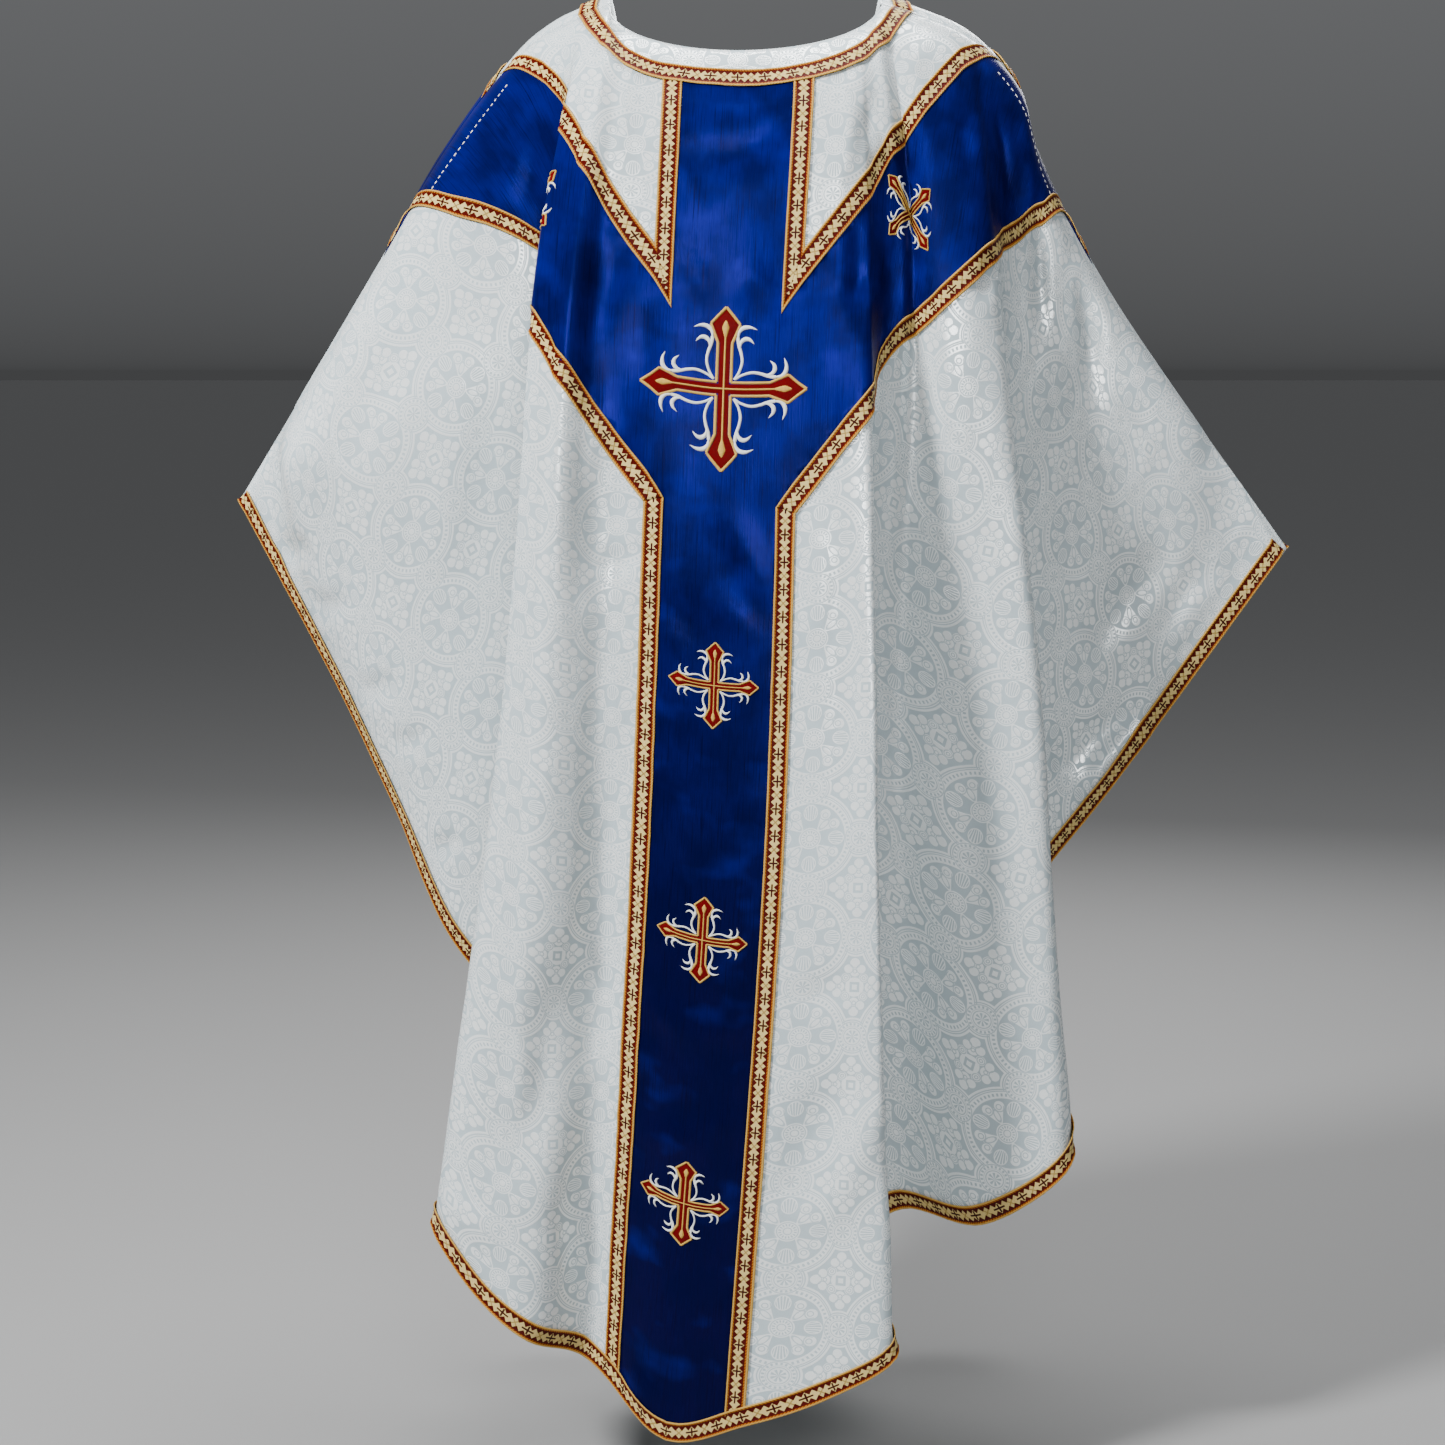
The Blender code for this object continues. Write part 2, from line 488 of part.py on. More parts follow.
class Pattern:
    """Flat outlines of the orphrey and the galloons of one panel."""

    def __init__(self, panel):
        cut = panel.cut
        lower = cut.neck_depth - BACK.neck_depth
        self.fork = np.array([COLUMN_HALF, FORK_DOWN + lower])
        self.elbow = np.array([COLUMN_HALF, ELBOW_DOWN + lower])
        self.side = COLUMN_HALF + GALLOON
        self.upper = self.arm_edge(self.fork, UPPER_EDGE, 0.0)
        self.upper_white = self.arm_edge(self.fork, UPPER_EDGE, -GALLOON)
        self.lower = self.arm_edge(self.elbow, LOWER_EDGE, 0.0)
        self.lower_white = self.arm_edge(self.elbow, LOWER_EDGE, GALLOON)
        self.neck_inner = (NECK_HALF + NECK_MARGIN[0], cut.neck_depth + NECK_MARGIN[1])
        self.neck_outer = tuple(n + GALLOON for n in self.neck_inner)
        self.hem = self.hem_line(panel)

    def arm_edge(self, start, edge, offset):
        """Corners of an arm's edge, from the column's out past the shoulder seam.
        offset is the distance below the edge of the blue."""
        run = np.linspace(-GALLOON, ARM_REACH, ARM_STEPS)
        share = np.clip(run / ARM_RUN, None, 1)
        below = 4 * edge.sag * share * (1 - share) + offset
        across = start[0] + run * math.sin(edge.lean) + below * math.cos(edge.lean)
        down = start[1] - run * math.cos(edge.lean) + below * math.sin(edge.lean)
        first = self.side if offset else start[0]
        corner = (first, float(np.interp(first, across, down)))
        beyond = [(float(a), float(d)) for a, d in zip(across, down)
                  if a > first + GALLOON / 2]
        return [corner, *beyond]

    def hem_line(self, panel):
        """Inner side of the hem galloon under the column, from left to right."""
        line = panel.flat[:, -2]
        reach = self.side + COLUMN_STEP
        return [tuple(p) for p in line if abs(p[0]) < reach and p[1] > CENTRE_LENGTH / 2]

    def neck_down(self, across, axes):
        """Depth of a neck galloon's side at a distance from the centre."""
        return axes[1] * (1 - abs(across / axes[0]) ** NECK_SQUARE) ** (1 / NECK_SQUARE)

    def neck_arc(self, axes, start, end, count):
        """Points on a neck galloon's side between two distances across."""
        return [(a, self.neck_down(a, axes)) for a in np.linspace(start, end, count)]

    def hem_between(self, start, end):
        """Points of the hem line between two distances across, ends cut to them."""
        line = self.hem
        downs = np.interp([start, end], [p[0] for p in line], [p[1] for p in line])
        low, high = min(start, end), max(start, end)
        inner = [p for p in line if low + 1e-4 < p[0] < high - 1e-4]
        if start > end:
            inner.reverse()
        return [(start, downs[0]), *inner, (end, downs[1])]

    def orphrey(self):
        """The blue Y."""
        h = COLUMN_HALF
        neck = self.neck_arc(self.neck_outer, -h, h, 5)
        right = [*self.upper, *reversed(self.lower)]
        left = mirrored(reversed(right), -1)
        return [*neck, *right, *self.hem_between(h, -h), *left]

    def column_galloon(self):
        """The trim down the right side of the column."""
        return [self.lower[0], self.lower_white[0],
                *self.hem_between(self.side, COLUMN_HALF)]

    def inner_galloon(self):
        """The trim between the column and the white wedge below the neck."""
        neck = self.neck_arc(self.neck_outer, COLUMN_HALF, self.side, 2)
        return [*neck, self.upper_white[0], self.upper[0]]

    def arm_upper_galloon(self):
        """The trim on the upper edge of the arm."""
        return [*self.upper_white, *reversed(self.upper)]

    def arm_lower_galloon(self):
        """The trim on the lower edge of the arm."""
        return [*self.lower, *reversed(self.lower_white)]

    def neck_galloon(self):
        """The trim round the neck, run past the seams so that the seams end it."""
        turns = np.linspace(-NECK_TURN, NECK_TURN, NECK_STEPS)
        outer = [oval(self.neck_outer, t) for t in turns]
        return outer + [oval(self.neck_inner, t) for t in reversed(turns)]


def cross_outline(cross):
    """A cross with four bars that widen to pointed heads."""
    arm = [(BAR_HALF, BAR_HALF), (BAR_HALF, FLARE_FROM), (FLARE_HALF, FLARE_AT), (0, 1),
           (-FLARE_HALF, FLARE_AT), (-BAR_HALF, FLARE_FROM)]
    outline = []
    for quarter in range(4):
        turn = cross.turn - quarter * math.pi / 2
        c, s = math.cos(turn), math.sin(turn)
        for across, up in arm:
            outline.append((cross.across + cross.half * (across * c + up * s),
                            cross.down - cross.half * (up * c - across * s)))
    return outline


def make_material(name, colour, roughness, metallic):
    material = bpy.data.materials.new(name)
    material.use_nodes = True
    shader = material.node_tree.nodes["Principled BSDF"]
    shader.inputs["Base Color"].default_value = (*colour, 1)
    shader.inputs["Roughness"].default_value = roughness
    shader.inputs["Metallic"].default_value = metallic
    return material


def add_piece(name, piece, finish):
    """One named object, with its own material, from a finished mesh."""
    mesh = bpy.data.meshes.new(name)
    piece.to_mesh(mesh)
    piece.free()
    thing = bpy.data.objects.new(name, mesh)
    mesh.materials.append(make_material(f"{name} {finish[0]}", *finish[1:]))
    mesh.shade_smooth()
    mesh.set_sharp_from_angle(angle=math.radians(40))
    bpy.data.collections["Gothic chasuble"].objects.link(thing)


def add_panel(title, cut):
    """A panel with its orphrey and galloons."""
    panel = Panel(cut)
    pattern = Pattern(panel)
    cloth = panel.mesh.copy()
    panel.thicken(cloth, 0.0, -CLOTH)
    add_piece(f"{title}_panel", cloth, WHITE)
    orphrey = panel.cut_out(inset(pattern.orphrey()))
    panel.thicken(orphrey, SEAM_GAP, SEAM_GAP + ORPHREY_CLOTH)
    add_piece(f"{title}_orphrey", orphrey, BLUE)
    trims = [("galloon_neck", pattern.neck_galloon())]
    for word, side in (("left", -1), ("right", 1)):
        trims += [(f"galloon_column_{word}", mirrored(pattern.column_galloon(), side)),
                  (f"galloon_inner_{word}", mirrored(pattern.inner_galloon(), side)),
                  (f"galloon_arm_upper_{word}", mirrored(pattern.arm_upper_galloon(), side)),
                  (f"galloon_arm_lower_{word}", mirrored(pattern.arm_lower_galloon(), side))]
    pieces = [(name, panel.cut_out(inset(outline))) for name, outline in trims]
    pieces.append(("galloon_hem", panel.hem_band()))
    for name, piece in pieces:
        panel.thicken(piece, SEAM_GAP, SEAM_GAP + GALLOON_CLOTH)
        add_piece(f"{title}_{name}", piece, GOLD)
    return panel


def main():
    for thing in list(bpy.data.objects):
        bpy.data.objects.remove(thing)
    collection = bpy.data.collections.new("Gothic chasuble")
    bpy.context.scene.collection.children.link(collection)
    back = add_panel("back", BACK)
    add_panel("front", FRONT)
    lift = 2 * SEAM_GAP + ORPHREY_CLOTH
    for cross in CROSSES:
        patch = back.cut_out(cross_outline(cross))
        back.thicken(patch, lift, lift + CROSS_CLOTH)
        add_piece(cross.name, patch, RED)


main()
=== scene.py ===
"""Gothic chasuble, filled out as if worn: the dressed model.

The cut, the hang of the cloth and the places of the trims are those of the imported
part, worked out again here on a finer grid.  Creases, puckers beside the sewing and
the unevenness of hanging cloth are then pressed into the panels, and the orphreys,
galloons, embroidery and stitches are laid on what comes out.

Units are metres, +Z is up, and the back faces -Y.
"""
import math
from collections import namedtuple

import bmesh
import bpy
import numpy as np
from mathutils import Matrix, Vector, noise
from mathutils.bvhtree import BVHTree
from mathutils.interpolate import poly_3d_calc


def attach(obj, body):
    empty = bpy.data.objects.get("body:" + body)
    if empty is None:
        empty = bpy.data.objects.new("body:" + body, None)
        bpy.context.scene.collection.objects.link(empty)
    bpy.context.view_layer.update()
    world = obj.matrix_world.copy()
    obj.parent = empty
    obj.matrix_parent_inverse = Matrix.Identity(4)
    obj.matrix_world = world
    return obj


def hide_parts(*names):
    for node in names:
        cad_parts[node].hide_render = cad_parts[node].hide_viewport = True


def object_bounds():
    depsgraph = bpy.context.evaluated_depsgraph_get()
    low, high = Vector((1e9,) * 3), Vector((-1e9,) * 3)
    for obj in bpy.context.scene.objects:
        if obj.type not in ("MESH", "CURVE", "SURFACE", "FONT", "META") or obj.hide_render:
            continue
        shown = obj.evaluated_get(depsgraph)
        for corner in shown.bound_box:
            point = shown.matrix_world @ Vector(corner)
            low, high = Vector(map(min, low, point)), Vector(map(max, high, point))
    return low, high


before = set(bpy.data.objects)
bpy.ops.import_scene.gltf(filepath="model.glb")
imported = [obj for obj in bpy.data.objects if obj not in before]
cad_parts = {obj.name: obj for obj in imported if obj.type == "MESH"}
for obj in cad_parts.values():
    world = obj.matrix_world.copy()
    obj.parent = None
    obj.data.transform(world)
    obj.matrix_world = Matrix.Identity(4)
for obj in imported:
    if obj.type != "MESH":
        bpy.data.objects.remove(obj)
CAD_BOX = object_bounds()

# Camera of the photo
CAMERA_AT = Vector((-0.02, -2.75, -0.34))
CAMERA_AIM = Vector((-0.02, -0.15, -0.658))
LENS = 71.7
SENSOR = 36.0
PHOTO_SIZE = 1445            # pixels along each side of the photo

# Flat cut of a panel
HALF_WIDTH = 0.724           # centre to the wrist point
NECK_HALF = 0.122            # centre to the neck point
SEAM_SLOPE = math.radians(20)
CENTRE_LENGTH = 1.335        # neck point level to the point of the hem
HEM_ROUNDNESS = (1.3, 2.5)   # powers of the curve that bounds hem and side
TIP_DROP = (HALF_WIDTH - NECK_HALF) * math.tan(SEAM_SLOPE)
SEAM_LENGTH = (HALF_WIDTH - NECK_HALF) / math.cos(SEAM_SLOPE)

# Cloth and trim
CLOTH = 0.0012
ORPHREY_LIFT = 0.0010
ORPHREY_CLOTH = 0.0007
GALLOON_LIFT = 0.0018
EDGE_GALLOON_LIFT = 0.0024   # the neck and hem galloons cover the ends of the others
GALLOON_CLOTH = 0.0005
CORD_RISE = 0.0007           # the gold cords at a galloon's edges stand above its middle
CROSS_LIFT = 0.0011
SEAM_GAP = 0.0003
GALLOON = 0.018              # width of the woven trim
ORPHREY_UNDERLAP = 0.005     # the blue runs on under the galloons

# Orphrey, in the flat
COLUMN_HALF = 0.049          # blue, between the galloons
FORK_DOWN = 0.325            # depth of the two points where column and arm part
ELBOW_DOWN = 0.496           # depth of the two corners where column and arm meet
ArmEdge = namedtuple("ArmEdge", "lean sag")   # sag is how far it bends downwards
UPPER_EDGE = ArmEdge(math.radians(34), 0.0)
LOWER_EDGE = ArmEdge(math.radians(38.5), -0.006)
ARM_RUN = 0.40               # length over which an edge bends
ARM_REACH = 0.60             # long enough to pass the shoulder seam
NECK_SQUARE = 2.5            # 2 would make the neck galloon a true oval
NECK_MARGIN = (0.012, 0.024)  # white left outside the neck galloon: side, centre

# Grid of a panel
ROWS = 124
HEM_ROWS = 4                 # rows across the hem galloon
COLUMN_STEP = 0.0105
LEAST_COLUMNS = 6            # between two fold lines, so that sharp crests stay round
TIP_RUN = 0.12               # stretch of seam that closes the grid at the wrist
TOP_CROWDING = 1.15          # above 1, rows are closer over the shoulder
STATIONS = (0.20, 0.58)      # chest and knee, as shares of a line's drop
EDGE_SAMPLES = 600           # of the hem curve, closer together near its point
EDGE_CROWDING = 1.2
PATH_SAMPLES = 40            # between two points of a path whose length is measured
STRIP_STEP = 0.004           # one row of a galloon

# Shoulder seam as worn: distance from the neck point, then the place seen from the
# front.  Each seam hangs in one upright plane, which swings forward by SEAM_SWING.
SeamPoint = namedtuple("SeamPoint", "along x z")
SEAM_LEFT = [
    SeamPoint(0.000, -0.125, 0.000),
    SeamPoint(0.075, -0.192, -0.030),
    SeamPoint(0.118, -0.225, -0.060),
    SeamPoint(0.213, -0.285, -0.136),
    SeamPoint(0.345, -0.356, -0.250),
    SeamPoint(0.640, -0.493, -0.467),
]
SEAM_RIGHT = [
    SeamPoint(0.000, 0.127, 0.000),
    SeamPoint(0.075, 0.197, -0.024),
    SeamPoint(0.116, 0.233, -0.049),
    SeamPoint(0.156, 0.259, -0.082),
    SeamPoint(0.212, 0.275, -0.138),
    SeamPoint(0.345, 0.341, -0.262),
    SeamPoint(0.640, 0.517, -0.508),
]
SEAM_SWING = {-1: -0.20, 1: -0.03}   # forward for each metre to the right

# A fold line runs from the top edge to the hem or the side edge.
#   top    flat distance across, at the top edge
#   edge   distance along the hem and side from the point of the hem
#   x, out place across and distance out from the shoulder line, at chest, knee, hem
# Across counts to the right as one looks at that panel from outside.
Fold = namedtuple("Fold", "name top edge chest_x chest_out knee_x knee_out hem_x hem_out hem_z")

BACK_FOLDS = [
    Fold("wrist left", -0.610, -1.270, -0.435, 0.000, -0.423, -0.025, -0.405, -0.055, -0.627),
    Fold("forearm left", -0.500, -1.100, -0.385, 0.010, -0.365, 0.000, -0.337, -0.035, -0.768),
    Fold("elbow left", -0.400, -0.960, -0.300, 0.030, -0.295, 0.010, -0.285, -0.020, -0.890),
    Fold("under arm left", -0.300, -0.840, -0.222, 0.033, -0.215, 0.015, -0.205, 0.000, -0.975),
    Fold("fold turn left", -0.215, -0.700, -0.165, 0.035, -0.130, 0.020, -0.110, 0.020, -1.060),
    Fold("fold depth left", -0.175, -0.570, -0.148, 0.050, -0.092, 0.050, -0.062, 0.060, -1.115),
    Fold("fold return left", -0.158, -0.430, -0.160, 0.072, -0.150, 0.090, -0.170, 0.105, -1.135),
    Fold("crest inside left", -0.149, -0.310, -0.178, 0.095, -0.211, 0.115, -0.272, 0.122, -1.132),
    Fold("crest left", -0.140, -0.272, -0.184, 0.115, -0.222, 0.145, -0.288, 0.155, -1.126),
    Fold("outer left", -0.122, -0.215, -0.161, 0.126, -0.195, 0.168, -0.245, 0.192, -1.185),
    Fold("body left", -0.103, -0.165, -0.135, 0.127, -0.160, 0.168, -0.200, 0.203, -1.222),
    Fold("trough left", -0.086, -0.110, -0.110, 0.127, -0.127, 0.150, -0.156, 0.165, -1.246),
    Fold("column left", -0.067, -0.073, -0.083, 0.130, -0.100, 0.163, -0.131, 0.170, -1.262),
    Fold("centre", 0.000, 0.000, -0.017, 0.134, -0.034, 0.187, -0.071, 0.210, -1.313),
    Fold("column right", 0.067, 0.073, 0.050, 0.137, 0.033, 0.197, 0.001, 0.222, -1.296),
    Fold("body right", 0.085, 0.130, 0.079, 0.137, 0.074, 0.205, 0.072, 0.232, -1.268),
    Fold("crest right", 0.104, 0.205, 0.111, 0.130, 0.119, 0.215, 0.136, 0.240, -1.224),
    Fold("crest inside right", 0.107, 0.235, 0.117, 0.121, 0.109, 0.185, 0.122, 0.207, -1.205),
    Fold("fold depth right", 0.111, 0.330, 0.128, 0.110, 0.090, 0.128, 0.086, 0.140, -1.165),
    Fold("side inner right", 0.117, 0.430, 0.145, 0.104, 0.128, 0.102, 0.150, 0.100, -1.128),
    Fold("side right", 0.152, 0.530, 0.176, 0.101, 0.200, 0.115, 0.225, 0.130, -1.134),
    Fold("side crest right", 0.198, 0.630, 0.224, 0.090, 0.271, 0.125, 0.304, 0.140, -1.073),
    Fold("side crest inside", 0.209, 0.665, 0.233, 0.072, 0.264, 0.092, 0.293, 0.102, -1.045),
    Fold("under arm right", 0.260, 0.800, 0.246, 0.048, 0.215, 0.045, 0.170, 0.045, -1.020),
    Fold("elbow right", 0.360, 0.995, 0.300, 0.038, 0.290, 0.025, 0.270, 0.000, -0.850),
    Fold("forearm right", 0.450, 1.135, 0.345, 0.030, 0.350, 0.020, 0.345, 0.000, -0.752),
    Fold("wrist right", 0.590, 1.285, 0.422, 0.022, 0.430, 0.015, 0.429, 0.000, -0.635),
]

FRONT_FOLDS = [
    Fold("wrist left", -0.600, -1.280, -0.425, 0.035, -0.430, 0.050, -0.425, 0.062, -0.640),
    Fold("forearm left", -0.455, -1.130, -0.350, 0.050, -0.355, 0.070, -0.345, 0.080, -0.765),
    Fold("elbow left", -0.370, -0.980, -0.300, 0.055, -0.295, 0.075, -0.265, 0.085, -0.875),
    Fold("fold turn left", -0.270, -0.780, -0.215, 0.056, -0.145, 0.050, -0.095, 0.052, -1.030),
    Fold("fold depth left", -0.235, -0.690, -0.178, 0.075, -0.090, 0.075, -0.035, 0.082, -1.090),
    Fold("fold return left", -0.218, -0.560, -0.192, 0.095, -0.165, 0.103, -0.160, 0.115, -1.120),
    Fold("crest inside left", -0.208, -0.480, -0.214, 0.108, -0.242, 0.120, -0.268, 0.128, -1.110),
    Fold("crest left", -0.198, -0.440, -0.214, 0.122, -0.248, 0.146, -0.280, 0.160, -1.112),
    Fold("outer left", -0.170, -0.365, -0.190, 0.134, -0.213, 0.166, -0.235, 0.186, -1.140),
    Fold("body left", -0.140, -0.265, -0.152, 0.140, -0.160, 0.165, -0.162, 0.180, -1.195),
    Fold("neck point left", -0.122, -0.190, -0.122, 0.140, -0.124, 0.148, -0.126, 0.152, -1.250),
    Fold("column left", -0.067, -0.073, -0.067, 0.145, -0.066, 0.168, -0.064, 0.180, -1.292),
    Fold("centre", 0.000, 0.000, 0.000, 0.150, 0.004, 0.180, 0.006, 0.194, -1.318),
    Fold("column right", 0.067, 0.073, 0.067, 0.145, 0.071, 0.172, 0.073, 0.182, -1.294),
    Fold("neck point right", 0.122, 0.170, 0.120, 0.140, 0.118, 0.160, 0.120, 0.165, -1.262),
    Fold("body right", 0.145, 0.250, 0.150, 0.138, 0.156, 0.170, 0.168, 0.186, -1.228),
    Fold("crest right", 0.168, 0.320, 0.180, 0.126, 0.206, 0.155, 0.228, 0.170, -1.180),
    Fold("crest inside right", 0.178, 0.355, 0.182, 0.108, 0.200, 0.126, 0.216, 0.136, -1.162),
    Fold("fold depth right", 0.196, 0.480, 0.155, 0.088, 0.090, 0.088, 0.045, 0.092, -1.140),
    Fold("side inner right", 0.225, 0.620, 0.205, 0.066, 0.175, 0.060, 0.150, 0.058, -1.075),
    Fold("side right", 0.280, 0.760, 0.250, 0.075, 0.262, 0.082, 0.240, 0.086, -0.955),
    Fold("elbow right", 0.360, 0.860, 0.300, 0.068, 0.304, 0.085, 0.292, 0.088, -0.850),
    Fold("forearm right", 0.490, 1.080, 0.385, 0.078, 0.366, 0.096, 0.345, 0.104, -0.740),
    Fold("wrist right", 0.610, 1.260, 0.438, 0.090, 0.425, 0.108, 0.408, 0.120, -0.630),
]

# A panel: which way it faces, its neckline in the flat and worn, how steeply it
# rises where it leaves the shoulder seam, and its folds.
Cut = namedtuple("Cut", "facing neck_depth rim_out rim_drop rim_lean rim_shift seam_rise folds")
BACK = Cut(-1, 0.075, 0.060, 0.049, 0.80, -0.006, -0.15, BACK_FOLDS)
FRONT = Cut(1, 0.125, 0.078, 0.100, 0.90, 0.0, 0.70, FRONT_FOLDS)
SHOULDER_ROUND = 0.9         # how long the cloth keeps level as it leaves the seam

# A crease is a soft roll (height above zero) or hollow (below) along a curve through
# three points.  On the back they are pixels of the photo, read off it; on the front,
# which it doesn't show, they are flat places, each (across, down).
Crease = namedtuple("Crease", "start middle end width height")
STRONG = 1.45                # creases of body and sleeves are this much higher than listed
BACK_SOFT = [
    # upper column
    Crease((684, 140), (745, 150), (800, 108), 0.015, -0.0050),
    Crease((684, 150), (701, 170), (717, 202), 0.009, -0.0035),
    Crease((690, 95), (742, 99), (794, 92), 0.006, -0.0020),
    Crease((682, 246), (697, 275), (713, 300), 0.009, -0.0035),
    Crease((734, 302), (746, 281), (757, 262), 0.009, -0.0035),
    Crease((757, 262), (766, 292), (778, 324), 0.008, -0.0035),
    # arms
    Crease((873, 172), (890, 160), (908, 172), 0.012, -0.0045),
    Crease((842, 288), (855, 288), (866, 268), 0.011, -0.0045),
    Crease((962, 118), (968, 148), (972, 178), 0.009, -0.0035),
    Crease((990, 108), (1002, 150), (1006, 192), 0.009, -0.0030),
    Crease((505, 110), (498, 150), (478, 190), 0.010, -0.0035),
    Crease((540, 115), (535, 160), (520, 205), 0.010, -0.0040),
    Crease((858, 205), (858, 270), (862, 335), 0.010, -0.0050),
    # chest left
    Crease((616, 240), (604, 300), (588, 352), 0.013, -0.0040),
    Crease((640, 295), (646, 340), (649, 388), 0.012, -0.0025),
    Crease((577, 215), (574, 270), (566, 330), 0.012, 0.0030),
    # lower column
    Crease((724, 508), (745, 547), (768, 602), 0.013, 0.0055),
    Crease((727, 600), (738, 618), (747, 642), 0.009, 0.0035),
    Crease((668, 600), (690, 622), (712, 642), 0.015, -0.0045),
    Crease((659, 722), (677, 690), (698, 656), 0.011, 0.0045),
    Crease((655, 812), (680, 836), (702, 872), 0.013, 0.0035),
    Crease((734, 818), (750, 806), (764, 788), 0.011, 0.0035),
    Crease((648, 1012), (672, 1022), (700, 1050), 0.014, 0.0040),
    Crease((700, 1040), (722, 1030), (748, 1018), 0.012, 0.0035),
    Crease((645, 1150), (672, 1140), (700, 1158), 0.014, 0.0040),
    Crease((705, 1140), (722, 1128), (742, 1120), 0.012, 0.0035),
    Crease((628, 1370), (645, 1392), (668, 1405), 0.014, 0.0045),
    # yoke
    Crease((600, 60), (610, 85), (612, 115), 0.010, -0.0030),
    Crease((640, 100), (640, 150), (650, 210), 0.010, -0.0025),
    Crease((845, 100), (850, 140), (832, 190), 0.011, 0.0035),
    Crease((870, 95), (866, 125), (850, 160), 0.010, -0.0030),
    Crease((920, 60), (935, 80), (930, 110), 0.012, -0.0030),
]
BACK_STRONG = [
    # left body
    Crease((592, 440), (596, 520), (586, 610), 0.020, -0.0055),
    Crease((612, 590), (614, 700), (606, 830), 0.014, 0.0040),
    Crease((650, 550), (628, 558), (604, 568), 0.011, -0.0035),
    Crease((572, 930), (560, 1005), (500, 1190), 0.030, -0.0110),
    Crease((517, 1040), (521, 1080), (510, 1120), 0.014, 0.0060),
    Crease((598, 950), (598, 1010), (592, 1070), 0.016, -0.0045),
    Crease((445, 1190), (465, 1215), (498, 1235), 0.018, 0.0060),
    Crease((560, 1200), (585, 1240), (590, 1290), 0.018, -0.0040),
    # right body
    Crease((856, 1070), (815, 1130), (794, 1210), 0.022, -0.0070),
    Crease((874, 1090), (858, 1158), (816, 1232), 0.018, 0.0060),
    Crease((800, 1010), (825, 990), (850, 985), 0.014, -0.0035),
    Crease((810, 520), (818, 580), (812, 650), 0.016, 0.0040),
    Crease((838, 560), (846, 700), (846, 830), 0.016, -0.0040),
    # right sleeve
    Crease((1172, 550), (1127, 598), (1088, 650), 0.022, -0.0080),
    Crease((1140, 700), (1102, 735), (1050, 764), 0.022, -0.0100),
    Crease((1150, 722), (1118, 745), (1085, 790), 0.014, 0.0050),
    Crease((1215, 560), (1180, 600), (1160, 640), 0.016, -0.0040),
    Crease((1075, 280), (1090, 330), (1088, 400), 0.018, -0.0050),
    Crease((1035, 215), (1040, 270), (1038, 330), 0.012, -0.0045),
    Crease((984, 250), (987, 275), (986, 300), 0.010, -0.0040),
    Crease((960, 700), (972, 820), (985, 960), 0.024, -0.0050),
    Crease((915, 300), (922, 400), (925, 520), 0.020, -0.0040),
    # left sleeve
    Crease((275, 546), (292, 552), (312, 548), 0.012, -0.0035),
    Crease((312, 604), (330, 606), (352, 598), 0.012, -0.0035),
    Crease((358, 690), (378, 688), (400, 676), 0.012, -0.0035),
    Crease((392, 745), (410, 742), (432, 730), 0.012, -0.0035),
    Crease((432, 850), (446, 846), (462, 835), 0.010, -0.0040),
    Crease((400, 330), (370, 400), (345, 470), 0.024, -0.0050),
    Crease((470, 330), (455, 450), (440, 580), 0.024, 0.0045),
]
FRONT_SOFT = [
    # column
    Crease((-0.045, 0.205), (0.005, 0.190), (0.046, 0.200), 0.014, -0.0040),
    Crease((-0.042, 0.300), (-0.022, 0.330), (-0.008, 0.360), 0.010, -0.0035),
    Crease((0.010, 0.345), (0.024, 0.318), (0.042, 0.300), 0.010, -0.0035),
    Crease((-0.040, 0.520), (-0.010, 0.550), (0.030, 0.575), 0.013, 0.0045),
    Crease((0.044, 0.640), (0.015, 0.665), (-0.020, 0.675), 0.014, -0.0040),
    Crease((-0.045, 0.770), (-0.015, 0.790), (0.020, 0.785), 0.013, 0.0035),
    Crease((0.000, 0.905), (0.022, 0.925), (0.045, 0.930), 0.012, -0.0035),
    Crease((-0.044, 1.020), (-0.010, 1.045), (0.030, 1.040), 0.014, 0.0040),
    Crease((-0.030, 1.190), (0.000, 1.205), (0.040, 1.190), 0.014, 0.0035),
    # arms
    Crease((0.105, 0.290), (0.118, 0.300), (0.132, 0.285), 0.011, -0.0040),
    Crease((0.200, 0.150), (0.222, 0.168), (0.232, 0.195), 0.010, -0.0035),
    Crease((-0.240, 0.130), (-0.262, 0.150), (-0.290, 0.160), 0.010, -0.0040),
    Crease((-0.130, 0.225), (-0.122, 0.250), (-0.108, 0.265), 0.011, -0.0035),
    # yoke
    Crease((-0.110, 0.150), (-0.098, 0.190), (-0.085, 0.240), 0.011, -0.0030),
    Crease((0.100, 0.150), (0.105, 0.190), (0.094, 0.235), 0.011, 0.0035),
]
